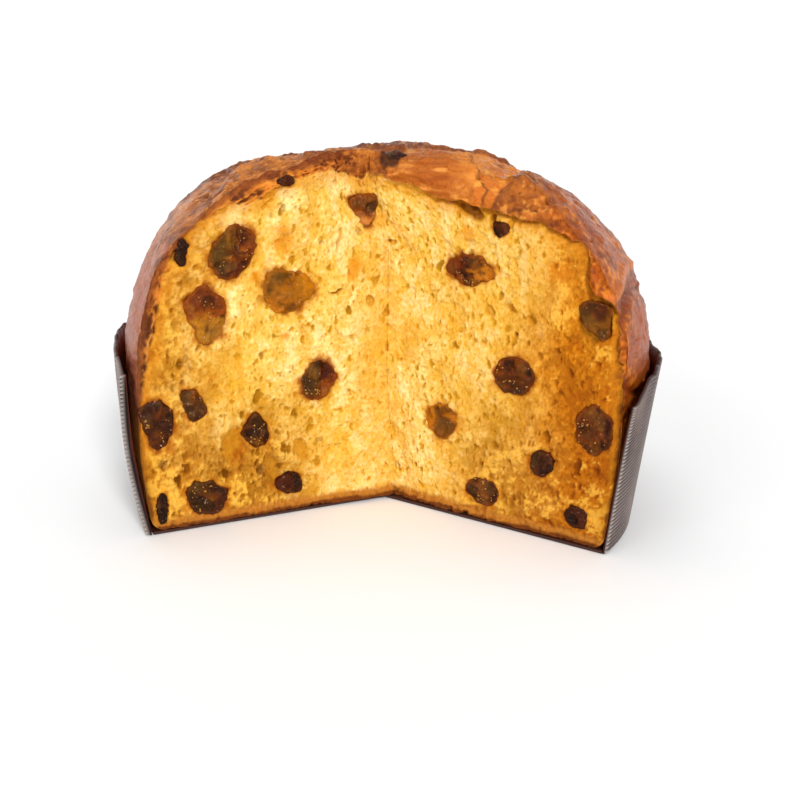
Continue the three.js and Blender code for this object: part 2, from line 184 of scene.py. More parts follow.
# %% [markdown]
# ## From arrays to meshes
# A surface over a grid has one point for each pair of its two parameters. Its faces are the grid's
# squares, which numpy numbers in one go. Colours are stored for each point in an attribute called
# tint, which the materials read, so that paint and relief come from the same arrays.


# %% Mesh makers
def linear(hex_colour):
    """An sRGB hex colour, such as #F8C768, as the linear values that a shader takes."""
    c = np.array([int(hex_colour[i:i + 2], 16) for i in (1, 3, 5)]) / 255
    return np.where(c <= 0.04045, c / 12.92, ((c + 0.055) / 1.055) ** 2.4)


def grid_faces(rows, columns, start=0, wrap=False):
    """Squares of a grid of points numbered row by row, as an array of four point numbers each.
    wrap joins the last column to the first."""
    i = np.arange(rows - 1)[:, None]
    j = np.arange(columns if wrap else columns - 1)[None, :]
    a = i * columns + j
    b = i * columns + (j + 1) % columns
    return start + np.stack([a, b, b + columns, a + columns], -1).reshape(-1, 4)


def make_mesh(name, points, faces, tint=None, values=None):
    """A mesh object from points in millimetres and faces, smooth shaded. tint is a colour for each point,
    and values holds more numbers for each point, by name."""
    mesh = bpy.data.meshes.new(name)
    faces = [f.tolist() if isinstance(f, np.ndarray) else list(f) for f in faces]
    mesh.from_pydata((points * MM).tolist(), [], faces)
    mesh.validate()
    mesh.polygons.foreach_set("use_smooth", np.ones(len(mesh.polygons), dtype=bool))
    if tint is not None:
        colours = np.concatenate([np.clip(tint, 0, 1), np.ones((len(tint), 1))], 1)
        layer = mesh.attributes.new("tint", "FLOAT_COLOR", "POINT")
        layer.data.foreach_set("color", colours.astype(np.float32).ravel())
    for key, numbers in (values or {}).items():
        layer = mesh.attributes.new(key, "FLOAT", "POINT")
        layer.data.foreach_set("value", numbers.astype(np.float32))
    mesh.update()
    piece = bpy.data.objects.new(name, mesh)
    bpy.context.scene.collection.objects.link(piece)
    print(name, "points", len(mesh.vertices), "faces", len(mesh.polygons))
    return piece


def node(tree, kind, settings=None, numbered=None, **named):
    """Adds one shader node. settings are its properties. numbered and named are its sockets, by number or by
    name with underscores for spaces: each a value, or an output socket to join."""
    made = tree.nodes.new(kind)
    for key, value in (settings or {}).items():
        setattr(made, key, value)
    links = {key.replace("_", " "): value for key, value in named.items()}
    for key, value in {**(numbered or {}), **links}.items():
        if isinstance(value, bpy.types.NodeSocket):
            tree.links.new(value, made.inputs[key])
        else:
            made.inputs[key].default_value = value
    return made


def new_material(name):
    """An empty node material with a Principled shader joined to its output. Gives material, tree, shader."""
    material = bpy.data.materials.new(name)
    material.use_nodes = True
    tree = material.node_tree
    tree.nodes.clear()
    shader = node(tree, "ShaderNodeBsdfPrincipled")
    node(tree, "ShaderNodeOutputMaterial", Surface=shader.outputs["BSDF"])
    return material, tree, shader


# %% [markdown]
# ## Camera
# The picture was taken with a normal lens from about half a metre, a little above the bread, and the
# camera was turned by one degree. A camera can be placed by its three axes: to the right, up, and
# back towards the photographer. Those make the columns of its matrix.

# %% Camera
AIM = Vector((5.5, 0.0, 39.6)) * MM
DISTANCE, ELEVATION, ROLL = 480.0 * MM, np.radians(19.06), np.radians(1.14)
LENS, SENSOR = 53.35, 36.0
level_right = Vector((1, 0, 0))
back = Vector((0, -np.cos(ELEVATION), np.sin(ELEVATION)))
level_up = back.cross(level_right)
right = level_right * np.cos(ROLL) + level_up * np.sin(ROLL)
up = level_up * np.cos(ROLL) - level_right * np.sin(ROLL)
camera_data = bpy.data.cameras.new("camera")
camera_data.lens = LENS
camera_data.sensor_width = SENSOR
camera_data.clip_start = 0.01
camera = bpy.data.objects.new("camera", camera_data)
bpy.context.scene.collection.objects.link(camera)
turned = Matrix((right, up, back)).transposed().to_4x4()
camera.matrix_world = Matrix.Translation(AIM + back * DISTANCE) @ turned
bpy.context.scene.camera = camera
print("camera at", [round(v, 3) for v in camera.matrix_world.translation])

# %% [markdown]
# ## The shape of the whole bread
# The bread's outline, turned round its axis, is a superellipse: a circle's formula with a power of
# 2.43 in place of 2, which gives the full shoulders of a risen dough. Below its shoulder it fills
# the case. Where a cut meets the dome, the crust curls over the edge.


# %% Profile of the bread and the case
def wall_outside(z):
    """Radius of the case's outside, which widens evenly from its foot to its rim."""
    return mix(FOOT_RADIUS, RIM_RADIUS, z / WALL_HEIGHT)


def bread_radius(z):
    """Radius of the smooth bread at height z: the superellipse above the shoulder, the case's inside
    below it, and a quarter round at the bottom edge."""
    rise = np.clip((z - SHOULDER) / (CROWN - SHOULDER), 0, 1)
    dome = BREAD_RADIUS * np.clip(1 - rise ** DOME_POWER, 0, 1) ** (1 / DOME_POWER)
    inside = np.minimum(wall_outside(z) - WALL_THICKNESS - GAP, dome)
    low = np.clip(1 - (z - BREAD_FLOOR) / BOTTOM_ROUNDING, 0, 1)
    return inside - BOTTOM_ROUNDING * (1 - np.sqrt(1 - low ** 2))


def depth_in_dome(radius, z):
    """About how far a spot lies inside the smooth dome: one less its superellipse reach, in millimetres."""
    rise = np.clip((z - SHOULDER) / (CROWN - SHOULDER), 0, None)
    reach = ((radius / BREAD_RADIUS) ** DOME_POWER + rise ** DOME_POWER) ** (1 / DOME_POWER)
    return (1 - reach) * BREAD_RADIUS


def dome_normal(p):
    """Unit vector out of the smooth dome: the slope of the superellipse's formula."""
    radius = np.hypot(p[..., 0], p[..., 1])
    rise = np.clip((p[..., 2] - SHOULDER) / (CROWN - SHOULDER), 0, None)
    outward = (radius / BREAD_RADIUS) ** (DOME_POWER - 1) / BREAD_RADIUS
    upward = rise ** (DOME_POWER - 1) / (CROWN - SHOULDER)
    n = np.stack([outward * p[..., 0] / (radius + 1e-9), outward * p[..., 1] / (radius + 1e-9), upward], -1)
    return n / np.linalg.norm(n, axis=-1, keepdims=True)


def curl_height(side, along):
    """How far down the cut face the crust curls, by distance from the crease."""
    if side == "left":
        return 5.5 - 4 * smooth(45, 75, along)
    return 5.5 + 7 * smooth(8, 38, along) - 10 * smooth(44, 78, along)


CURL_DEPTH = 0.85


def crust_inset(side, along):
    """How far behind the flat cut the crust's edge stands: the curl's height times 0.85."""
    return CURL_DEPTH * curl_height(side, along)


print("radius at the shoulder and at 120 mm", bread_radius(np.array([SHOULDER, 120.0])).round(1))

# %% [markdown]
# ## The crust's relief
# The baker cuts a cross in the top before baking, and in the oven it opens: orange dough shows between
# brown flaps that stand up. Seen from above, the opened cross is a few strips, wide at one end.
# The distance to their edges gives everything: the sunk middle, the raised lip of each flap and later
# the colours. Smaller relief is blisters, folds and fine wrinkles.

# %% Crust relief
TONGUE = [((17, -12), (25, 14), 36, 34)]
VALLEYS = [((32, -26), (47, 14), 15, 29), ((49, 14), (74, 52), 28, 7), ((12, 4), (-44, 9), 15, 4)]
CRACK_Y, CRACK_X = [-30, -21, -8, 4, 14, 26], [34.5, 33, 29.5, 31, 27, 21]
FAR_RIM_X, FAR_RIM_Y = [-42, -30, -20, -10, 2], [8, 13, 17, 18, 16]
TONGUE_DEPTH, VALLEY_DEPTH, FLAP_RISE = 0.7, 2.4, 1.8
SWELLINGS = [((-66, 8, 121), 24, 3.0), ((-30, 20, 137), 20, -3.2), ((36, 12, 134), 24, 1.6),
             ((50, 0, 128), 22, -1.4), ((-4, 14, 139), 15, -1.6)]
LOBE_TURN, LOBE_WIDE, LOBE_HEIGHT, LOBE_TALL = -0.37, 0.24, 77.0, 17.0


def strip_distance(x, y, strips, wobble):
    """Distance outside the edge of the nearest strip, negative inside: distance to the strip's middle
    line less half its width there, with a wavy and a torn edge."""
    nearest = np.full_like(x, 99.0)
    for (x0, y0), (x1, y1), wide, narrow in strips:
        dx, dy = x1 - x0, y1 - y0
        share = np.clip(((x - x0) * dx + (y - y0) * dy) / (dx * dx + dy * dy), 0, 1)
        gap = np.hypot(x - x0 - share * dx, y - y0 - share * dy) - mix(wide, narrow, share) / 2
        nearest = np.minimum(nearest, gap)
    return nearest + wobble


def cross_distances(p):
    """Distances to the edge of the front tongue and of the deeper valleys of the opened cross."""
    x, y = p[..., 0], p[..., 1]
    wobble = 1.3 * np.sin(0.31 * x + 0.17 * y) + 0.8 * np.sin(0.5 * y - 0.2 * x) + 0.9 * noise(p, 3.4, 5)
    return strip_distance(x, y, TONGUE, 0.5 * wobble), strip_distance(x, y, VALLEYS, wobble)


def crack_side(x, y):
    """How far right of the crack in the tongue a spot lies, and how much it counts: 1 along the crack."""
    wander = 0.8 * np.sin(0.7 * y) + 0.5 * np.sin(1.7 * y + 1)
    return x - np.interp(y, CRACK_Y, CRACK_X) - wander, smooth(-31, -27, y) * (1 - smooth(18, 27, y))


def far_rim(x, y):
    """1 on the raised dark rim behind the crown, 0 off it."""
    away = y - np.interp(x, FAR_RIM_X, FAR_RIM_Y) - 1.0 * np.sin(0.6 * x)
    return np.exp(-(away / 2.2) ** 2) * smooth(-46, -38, x) * (1 - smooth(-10, -2, x))


def lobe_share(angle, z):
    """How far out a spot lies in the lobe of crust that hangs over the case by the right cut: 0 in its
    middle, 1 on its edge. It is an oval in angle round the axis and height."""
    return np.hypot((angle - LOBE_TURN) / LOBE_WIDE, (z - LOBE_HEIGHT) / LOBE_TALL)


def right_fold(angle, z):
    """The rolled fold above that lobe: 1 along its crest and 0 beside it."""
    crest = z - 99.0 - 3.0 * np.sin(9 * angle + 4.1)
    return np.exp(-(crest / 1.9) ** 2) * smooth(-0.66, -0.56, angle) * (1 - smooth(-0.2, -0.06, angle))


def crust_wrinkles(p):
    """Fine wrinkles of the skin: upright on the sides, and crooked round the crown."""
    x, y, z = np.moveaxis(p, -1, 0)
    radius = np.hypot(x, y)
    upright = ridges(np.stack([np.arctan2(y, x) * 38, radius * 0.6, z], -1), 5.0, 25, 3, 0.75)
    return mix(ridges(p, 5.0, 26, 3, 0.75), upright, smooth(30, 50, radius))


def crust_relief(p):
    """How far the crust stands out of the smooth dome: lean, lobes, folds, the opened cross, blisters
    and wrinkles, added up. The fine part is lower on the stretched left and right sides, and fades out
    below the shoulder, where the case holds the bread."""
    x, y, z = np.moveaxis(p, -1, 0)
    rise = np.clip((z - SHOULDER) / (CROWN - SHOULDER), 0, 1)
    share = np.arcsin(rise ** (DOME_POWER / 2)) / (np.pi / 2)
    belly = np.sin(np.pi * share)
    angle = np.arctan2(y, x)
    lobes = 1.1 * np.cos(3 * angle + 0.7) + 0.8 * np.cos(5 * angle + 2.1)
    relief = belly * (-LEFT_LEAN * np.cos(angle) + lobes)
    relief = relief + 1.1 * bumps(x + 0.5 * z, y - 0.7 * z, 26, 1.7) * smooth(0, 0.15, share)
    relief = relief + 0.5 * bumps(x, y, 17, 4.2) * share
    for middle, reach, rise_by in SWELLINGS:
        relief = relief + rise_by * np.exp(-(np.linalg.norm(p - np.array(middle), axis=-1) / reach) ** 2)
    lobe = lobe_share(angle, z)
    relief = relief + 1.1 * (1 - smooth(0.9, 1.02, lobe)) - 1.0 * np.exp(-((lobe - 1.09) / 0.06) ** 2)
    relief = relief + 1.0 * right_fold(angle, z) - 0.7 * right_fold(angle, z + 3.6)
    tongue, valley = cross_distances(p)
    high = smooth(0.25, 0.4, share)
    in_tongue = 1 - smooth(-1.6, 0.6, tongue)
    in_valley = (1 - smooth(-1.4, 0.5, valley)) * (1 - in_tongue)
    edge = np.minimum(tongue, valley)
    flap = FLAP_RISE * smooth(-0.4, 1.6, edge) * (1 - smooth(4, 24, edge))
    shallow_behind = 1 - 0.65 * smooth(-6, 14, y)
    right_of_crack, on_crack = crack_side(x, y)
    beside = smooth(-0.5, 0.5, right_of_crack)
    step = (1 - beside) * np.exp(np.minimum(right_of_crack, 0) / 7)
    step = step - beside * np.exp(-np.maximum(right_of_crack, 0) / 5)
    relief = relief + high * on_crack * (1.0 * step - 0.9 * np.exp(-((right_of_crack - 0.5) / 0.45) ** 2))
    relief = relief + 1.2 * far_rim(x, y)
    relief = relief + high * (flap - TONGUE_DEPTH * in_tongue - VALLEY_DEPTH * in_valley * shallow_behind)
    shown = smooth(SHOULDER - 14, SHOULDER + 4, z)
    rough = 1 - 0.6 * smooth(35, 75, -x) * (1 - smooth(118, 132, z)) - 0.5 * smooth(42, 66, x)
    web_round, web_on_top = cell_edges(angle * 95 + 0.3 * z, z + 0.4 * y, 6.0, 11), cell_edges(x, y, 6.0, 12)
    blister = smooth(0.02, 0.5, mix(web_round, web_on_top, smooth(112, 126, z)))
    folds = ridges(p, 15, 23, 2, 0.6)
    wrinkles = crust_wrinkles(p)
    skin = 0.3 * (blister - 0.6) + 0.8 * layers(p, 9.0, 21, 3) + 0.4 * layers(p, 2.4, 22, 2, 0.7)
    skin = skin + 1.2 * (wrinkles - 0.5) - 1.5 * smooth(0.8, 0.97, folds)
    return relief + skin * rough * shown


LID, PRESSED_FROM = 140.95, 138.5


def under_lid(p):
    """Presses what stands higher than the frame's crown down under it: the height over 138.5 mm goes
    through a tanh, which bends it to stay under the lid."""
    room = LID - PRESSED_FROM
    over = np.clip(p[..., 2] - PRESSED_FROM, 0, None)
    pressed = p.copy()
    pressed[..., 2] += room * np.tanh(over / room) - over
    return pressed


sample = np.array([[38.0, 0.0, 136.0], [-60.0, -10.0, 125.0]])
print("relief in the cross and on a flap", crust_relief(sample).round(2))

# %% [markdown]
# ## The crust as one skin
# A ball of rays leaves one point, the heart, and each ray stops where it meets the smooth bread. Then the
# relief moves each point along the dome's normal. The heart stands behind both cuts by as much as the
# crust curls over them at the crease, so the skin's two last columns follow the cuts' edges all the way
# up. Past those columns the skin turns in behind the crumb and closes on itself, so it is a solid too.
# The rows are close together where the crust shows and wide apart down in the case.

# %% Rays from the heart
HEART_DEPTH = float(crust_inset("left", 0.0))
HEART = CUT_TIP + INTO_BREAD * HEART_DEPTH / np.sin(opening) + np.array([0, 0, DOME_CENTRE[2]])
EDGE_LIP = 0.3


def last_inside(is_inside, far):
    """How far lines run inside the bread: the span between inside and outside is halved 34 times.
    is_inside answers for an array of distances, and far holds distances that are outside."""
    near = np.zeros_like(far)
    for _ in range(34):
        middle = (near + far) / 2
        inside = is_inside(middle)
        near, far = np.where(inside, middle, near), np.where(inside, far, middle)
    return near


def ray_hits(turn, lift):
    """Where rays from the heart meet the smooth bread. turn is the ray's angle round the heart, and lift its
    angle above level."""
    way = np.stack([np.cos(lift) * np.cos(turn), np.cos(lift) * np.sin(turn), np.sin(lift)], -1)

    def is_inside(distance):
        x, y, z = np.moveaxis(HEART + way * distance[..., None], -1, 0)
        return (z > BREAD_FLOOR) & (z < CROWN) & (np.hypot(x, y) < bread_radius(z))

    return HEART + way * last_inside(is_inside, np.full(way.shape[:-1], 200.0))[..., None]


def row_lifts(fine, coarse):
    """Ray angles for rows fine mm apart along the profile from the case's rim to the crown, and coarse mm
    apart below."""
    turn = np.linspace(0, np.pi / 2, 500)
    dome_radius = BREAD_RADIUS * np.cos(turn) ** (2 / DOME_POWER)
    radius = np.concatenate([[0, FOOT_RADIUS - 7, FOOT_RADIUS - 3], dome_radius])
    dome_z = SHOULDER + (CROWN - SHOULDER) * np.sin(turn) ** (2 / DOME_POWER)
    z = np.concatenate([[BREAD_FLOOR, BREAD_FLOOR, BREAD_FLOOR + BOTTOM_ROUNDING], dome_z])
    length = np.concatenate([[0], np.cumsum(np.hypot(np.diff(radius), np.diff(z)))])
    shown_from = np.interp(46, z[2:], length[2:])
    at = np.concatenate([np.arange(3, shown_from, coarse), np.arange(shown_from, length[-1] - 0.3, fine)])
    return np.arctan2(np.interp(at, length, z) - HEART[2], np.interp(at, length, radius))


def last_turn(side, lift):
    """The turn of the crust's last ray at a cut: its end stands behind the cut by the curl's depth less a
    lip. The turn and the reach depend on each other, so both are worked out six times over."""
    cut, into = (RIGHT_CUT, 1) if side == "right" else (LEFT_CUT, -1)
    turn = np.full(lift.shape, cut)
    for _ in range(6):
        p = ray_hits(turn, lift)
        reach = np.hypot(p[:, 0] - HEART[0], p[:, 1] - HEART[1])
        behind = crust_inset(side, (p - CUT_TIP) @ CUT_ALONG[side]) - EDGE_LIP
        turn = cut + into * np.arcsin(np.clip((behind - HEART_DEPTH) / np.maximum(reach, 1e-6), -1, 1))
    return turn


def torn_aside(p):
    """The line where the cuts meet wanders sideways on its way down, because the bread tore there, and takes
    along what is within 34 mm of it."""
    z = p[..., 2]
    sideways = -7.5 * smooth(105, 132, z) + 4 * (1 - smooth(0, 60, z))
    near = 1 - smooth(0, 34, np.hypot(p[..., 0] - CUT_TIP[0], p[..., 1] - CUT_TIP[1]))
    return p + np.array([1.0, 0, 0]) * (sideways * near)[..., None]


def out_of_cut(side, along):
    """Direction out of a cut: out of both at the crease, and square to this one from 14 mm on."""
    return mix(BOTH_CUTS, CUT_OUT[side], smooth(0, 14, along)[..., None])


lift = row_lifts(0.85, 6.0)
print("crust rows", len(lift))

# %% Crust points
COLUMNS = 452
share = np.linspace(0, 1, COLUMNS)
turn = mix(last_turn("right", lift)[:, None], last_turn("left", lift)[:, None], share)
smooth_crust = torn_aside(ray_hits(turn, lift[:, None] + 0 * turn))
crust = under_lid(smooth_crust + dome_normal(smooth_crust) * crust_relief(smooth_crust)[..., None])


def turned_in(side, column):
    """A column of points 14 mm behind the last one, drawn a twentieth of the way to the bread's middle, and
    lower under the crown."""
    along = np.clip((column - CUT_TIP) @ CUT_ALONG[side], 0, None)
    inner = mix(column - out_of_cut(side, along) * 14, np.array([0, 20, 60.0]), 0.05)
    inner[..., 2] -= 8 * smooth(95, 128, inner[..., 2])
    return inner


axis_z = np.linspace(BREAD_FLOOR + 0.5, CROWN - 10, len(lift))
axis = torn_aside(HEART * [1, 1, 0] + INTO_BREAD * 10 + np.array([0, 0, 1]) * axis_z[:, None])
first_column, last_column = turned_in("right", crust[:, 0]), turned_in("left", crust[:, -1])
skin = np.concatenate([axis[:, None], first_column[:, None], crust, last_column[:, None]], 1)
print("crust from", crust.reshape(-1, 3).min(0).round(1), "to", crust.reshape(-1, 3).max(0).round(1))


# %% Closed skins
def capped_faces(rows, columns):
    """Faces of a closed skin over points in this order: one point, rows that each go once round, and one
    point again."""
    ring = np.arange(columns)
    last = 1 + rows * columns
    bottom = np.stack([0 * ring, 1 + (ring + 1) % columns, 1 + ring], -1)
    top = np.stack([0 * ring + last, last - columns + ring, last - columns + (ring + 1) % columns], -1)
    return [*bottom, *grid_faces(rows, columns, 1, wrap=True), *top]


def capped_points(first, rows, last):
    """Points for capped_faces: an end point, the rows' points and the other end point."""
    return np.concatenate([np.reshape(first, (1, 3)), rows.reshape(-1, 3), np.reshape(last, (1, 3))])


def tube_faces(rows, columns):
    """Faces of a closed tube: rows that each go once round, and a many-sided face on each end."""
    ring = np.arange(columns)
    return [ring[::-1], *grid_faces(rows, columns, 0, wrap=True), ring + (rows - 1) * columns]


bottom_point = HEART * [1, 1, 0] + [0, 0, BREAD_FLOOR]
top_point = torn_aside(HEART * [1, 1, 0] + [0, 0, CROWN])
top_point = under_lid(top_point + dome_normal(top_point) * crust_relief(top_point[None])[0])
crust_points = capped_points(bottom_point, skin, top_point)
crust_faces = capped_faces(*skin.shape[:2])
print("crust triangles", 2 * len(crust_faces))

# %% [markdown]
# ## The fruit, as facts
# Figs, candied peel and raisins lie in the two cuts. Each shows an outline of its own, so each is written
# as a middle on its cut and eight distances to its edge, every 45 degrees from the right, going up first.
# A smooth curve through the eight gives the distance at any angle. The crumb needs these outlines before
# the fruit is made, because each piece sits in a pocket and stains the crumb round it, and the crumb at
# the pocket's rim is darkened as painted shadow.
# Where the bread hides a cut from the front, the fruit is plain ovals at the frame's own places.

# %% Fruit outlines
FACE_FRUIT = {
    "fig_upper_left": ("left", 61.7, 105.7, [9, 10.5, 9.5, 7, 8, 9.5, 9.5, 7.5]),
    "amber_peel_left": ("left", 39.8, 89.5, [10, 9, 8, 11.5, 10.5, 8.5, 8, 8]),
    "fig_shoulder_left": ("left", 72.8, 83.3, [8, 8.5, 11, 9, 6, 5.5, 11.5, 10]),
    "fig_middle_left": ("left", 28.3, 54.2, [7.5, 7.5, 8.5, 8, 8, 8.5, 8.5, 7.5]),
    "peel_strip_left": ("left", 77.8, 50.4, [3.5, 3.5, 6, 7.5, 4, 4.5, 7.5, 7.5]),
    "fig_low_middle": ("left", 54.1, 35.7, [5.5, 5.5, 7.5, 5.5, 5.5, 5, 6, 6.5]),
    "fig_by_case_left": ("left", 92.0, 44.4, [6.5, 7.5, 9.5, 9, 5.5, 7, 11, 8.5]),
    "fig_low_left": ("left", 74.4, 12.5, [8.5, 6, 6.5, 8, 8.5, 8, 7.5, 8.5]),
    "raisin_low_middle": ("left", 40.8, 12.8, [5.5, 4.5, 4.5, 4.5, 6, 4.5, 4.5, 6]),
    "peel_near_crease": ("left", 7.5, 117.5, [5, 8, 7, 7.5, 4, 3.5, 6, 5]),
    "raisin_crust_left": ("left", 80.2, 107.4, [2.2, 3.8, 5.2, 2.4, 2.0, 3.6, 5.4, 2.4]),
    "raisin_crown_left": ("left", 40.9, 130.6, [3.5, 2.5, 1.8, 2, 3.5, 2, 1.8, 2.5]),
    "raisin_corner_left": ("left", 91.5, 10.0, [2, 3, 7, 3, 2, 3, 6.5, 2.5]),
    "fig_upper_right": ("right", 35.6, 99.3, [11, 8, 6, 8, 10.5, 6, 6, 6.5]),
    "raisin_crown_right": ("right", 46.9, 116.0, [3.5, 3, 2.5, 3, 3, 3, 3, 2.5]),
    "peel_shoulder_right": ("right", 84.5, 87.6, [7, 8, 7.5, 6.5, 5, 3.5, 4.5, 8]),
}
HIDDEN_FRUIT = ["fig_low_right", "amber_peel_right", "fig_by_case_right", "raisin_low_right",
                "fig_foot_right", "raisin_foot_right"]


def node_points(name):
    """A frame node's own points, in millimetres."""
    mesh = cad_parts[name].data
    flat = np.empty(len(mesh.vertices) * 3)
    mesh.vertices.foreach_get("co", flat)
    return flat.reshape(-1, 3) / MM


for name in HIDDEN_FRUIT:
    p = node_points(name)
    along = (p - CUT_TIP) @ CUT_ALONG["right"]
    half_wide, half_tall = np.ptp(along) / 2, np.ptp(p[:, 2]) / 2
    every_eighth = np.arange(8) * np.pi / 4
    reach = 1 / np.hypot(np.cos(every_eighth) / half_wide, np.sin(every_eighth) / half_tall)
    middle = (along.max() + along.min()) / 2
    FACE_FRUIT[name] = ("right", middle, (p[:, 2].max() + p[:, 2].min()) / 2, reach.tolist())


def outline_reach(reach, angle):
    """Distance to a fruit's edge at an angle: a smooth step blend between the two nearest of the eight."""
    eighth = (angle / (np.pi / 4)) % 8
    low = np.floor(eighth).astype(int) % 8
    ends = np.array(reach)
    return mix(ends[low], ends[(low + 1) % 8], smooth(0, 1, eighth - np.floor(eighth)))


def ragged_reach(name, angle):
    """A fruit's outline with torn notches: its smooth outline made longer and shorter by noise that is
    read along that outline."""
    reach = outline_reach(FACE_FRUIT[name][3], angle)
    along_edge = np.stack([reach * np.cos(angle), reach * np.sin(angle), 0 * angle + 9.0 * len(name)], -1)
    return reach * (1 + 0.11 * noise(along_edge, 5.0, 61) + 0.05 * noise(along_edge, 1.9, 62))


def chart_sign(side):
    """The chart of the cuts counts to the right from the crease: left of it is negative."""
    return -1 if side == "left" else 1


def share_of_fruit(across, up, name):
    """How far out a spot of the chart lies from a fruit's middle, as a share of the way to its edge."""
    side, along, height, _ = FACE_FRUIT[name]
    dx, dy = across - chart_sign(side) * along, up - height
    return np.hypot(dx, dy) / ragged_reach(name, np.arctan2(dy, dx))


print("fruit in the cuts", len(FACE_FRUIT))

# %% [markdown]
# ## The crumb
# Panettone crumb is long and silky. It was pulled apart by the oven more than cut by the knife, so the
# pores are upright almonds of 1 to 5 mm between torn, pale fibres. The height of the face over
# the flat cut is a sum: broad waves, torn ridges, pores of three sizes, and a fine grain. Both faces use
# one chart, so they agree where they meet. The rows fan out from the crease to points evenly spaced
# along the crust's edge, so the mesh is as fine at the crown as down in the case.


# %% Chart of a cut face
CRUMB_ROWS, CRUMB_COLUMNS, BACK_COLUMNS = 336, 246, 10
SLAB_DEPTH = 9.0


def flat_point(side, along, z, out):
    """A point of the cut: along it from the crease, up, and out of it."""
    p = CUT_TIP + CUT_ALONG[side] * along[..., None] + out_of_cut(side, along) * out[..., None]
    return p + np.array([0, 0, 1.0]) * z[..., None]


def edge_of_cut(side):
    """The crust's edge on a cut, as along and height at points evenly spaced from the foot to the crown."""
    z = CROWN - (CROWN - BREAD_FLOOR) * np.linspace(1, 0.03, 1600) ** 3

    def is_inside(along):
        p = flat_point(side, along, z, -crust_inset(side, along))
        return np.hypot(p[:, 0], p[:, 1]) < bread_radius(z)

    edge = last_inside(is_inside, np.full_like(z, 130.0))
    length = np.concatenate([[0], np.cumsum(np.hypot(np.diff(edge), np.diff(z)))])
    at = np.linspace(0, length[-1], CRUMB_ROWS)
    return np.interp(at, length, edge), np.interp(at, length, z)


def cut_chart(side):
    """Along and height for the grid of a face: each row is a line from the crease to the crust's edge."""
    edge_along, edge_z = edge_of_cut(side)
    crease_z = np.linspace(edge_z[0], edge_z[-1], CRUMB_ROWS)
    s = np.linspace(0, 1, CRUMB_COLUMNS)
    return edge_along[:, None] * s, mix(crease_z[:, None], edge_z[:, None], s)


def depth_in_bread(side, along, z):
    """How far inside the bread's skin a spot of the cut lies: in the dome above, in the case below."""
    p = flat_point(side, along, z, -crust_inset(side, along))
    radius = np.hypot(p[..., 0], p[..., 1])
    return np.minimum(depth_in_dome(radius, z), bread_radius(z) - radius)


# %% Crumb relief
POCKET_DEPTH = 1.5
# Each hollow: place on the chart, half width and half height, tilt in degrees, depth. Each glow, where
# light comes through moist crumb: place, half width and half height.
HOLLOWS = [(34, 121, 7, 2.6, -22, 2.6), (42.5, 126, 1.3, 3.6, -12, 2.2), (43.4, 119.5, 1.6, 2.2, 0, 2.2),
           (83.6, 101, 1.1, 5.0, -8, 2.0), (86, 87, 6.5, 7.5, -30, 1.7),
           (-41, 131.5, 5.0, 2.2, 8, 2.0), (-46, 126.5, 5.2, 1.1, 33, 1.6), (-65, 121, 4.6, 0.9, 30, 1.5),
           (-81, 108.5, 2.6, 6.0, -28, 1.6), (-96, 67, 0.9, 7.0, 0, 2.0),
           (-21, 88, 2.7, 0.8, 18, 2.2), (-87, 69, 0.7, 1.8, 0, 2.0), (-42, 109, 4.2, 4.2, 0, 0.8),
           (-64, 32, 4.5, 8.0, -14, 1.3), (-51, 87, 3.0, 4.0, 0, 0.7), (-20, 107, 0.7, 5.5, -12, 0.9),
           (-48, 20, 3.0, 7.0, 20, 1.2), (-57, 12, 1.0, 6.0, 12, 1.0), (-36, 26, 3.2, 5.5, 24, 1.4),
           (44, 85, 2.2, 3.2, 35, 1.5), (52, 87.5, 3.4, 1.5, -25, 1.3), (61, 84, 1.8, 2.3, 30, 1.6),
           (55, 78, 0.9, 0.9, 0, 2.0), (2, 106, 2.4, 1.4, 0, 1.5)]
GLOWS = [(-42, 109, 5.5, 7.0), (-53, 96, 2.5, 3.0), (-42, 73, 3.0, 2.0), (34, 113, 4.0, 4.0),
         (72, 104, 7.0, 5.0), (-14, 96, 4.0, 6.0), (-62, 30, 6.0, 8.0)]
CRUST_LINE = {
    "left": [(0, 131.5), (4, 129.4), (11, 132), (21, 133.7), (32, 132.3), (38, 130.9), (42, 129.5), (50, 124),
             (62, 123), (68, 119.5), (74.4, 117), (79.6, 108.4), (83.8, 103.7), (87.5, 94), (91, 80),
             (96, 60), (98.5, 40)],
    "right": [(0, 130.5), (5, 131.5), (8, 129.5), (16.6, 128.3), (22, 124.8), (34, 123.8), (42, 122.4),
              (51, 121), (64, 119.5), (71, 116.3), (76.4, 113.8), (79.5, 110.5), (81.5, 106), (83, 99),
              (86.3, 95.6), (91.8, 93), (93.4, 84), (94.7, 74.4), (97, 68.6), (100.6, 65)]}


def past_crust_line(side, along, z):
    """How far a spot of a face lies past the line where crumb ends and crust begins: its height over the
    line, made square to it by the line's slope, with a ragged edge."""
    line = np.array(CRUST_LINE[side], float).T
    height = np.interp(along, *line)
    slope = (np.interp(along + 1.5, *line) - np.interp(along - 1.5, *line)) / 3
    flat = flat_at(along, z)
    return (z - height) / np.sqrt(1 + slope ** 2) + 0.7 * noise(flat, 4.0, 111) + 0.45 * noise(flat, 1.5, 112)


def pores(a, b):
    """Three sizes of pore, the deepest at each spot: about 4, 2 and 1 mm long, and taller than wide."""
    deep = bubbles(a, b, 7.0, 45, 0.6, 1.7, 0.4)
    middling = bubbles(a, b, 2.7, 46, 0.35, 1.0, 0.6)
    small = bubbles(a, b, 1.4, 47, 0.2, 0.5, 0.8)
    return np.maximum(1.1 * deep, np.maximum(middling, small))


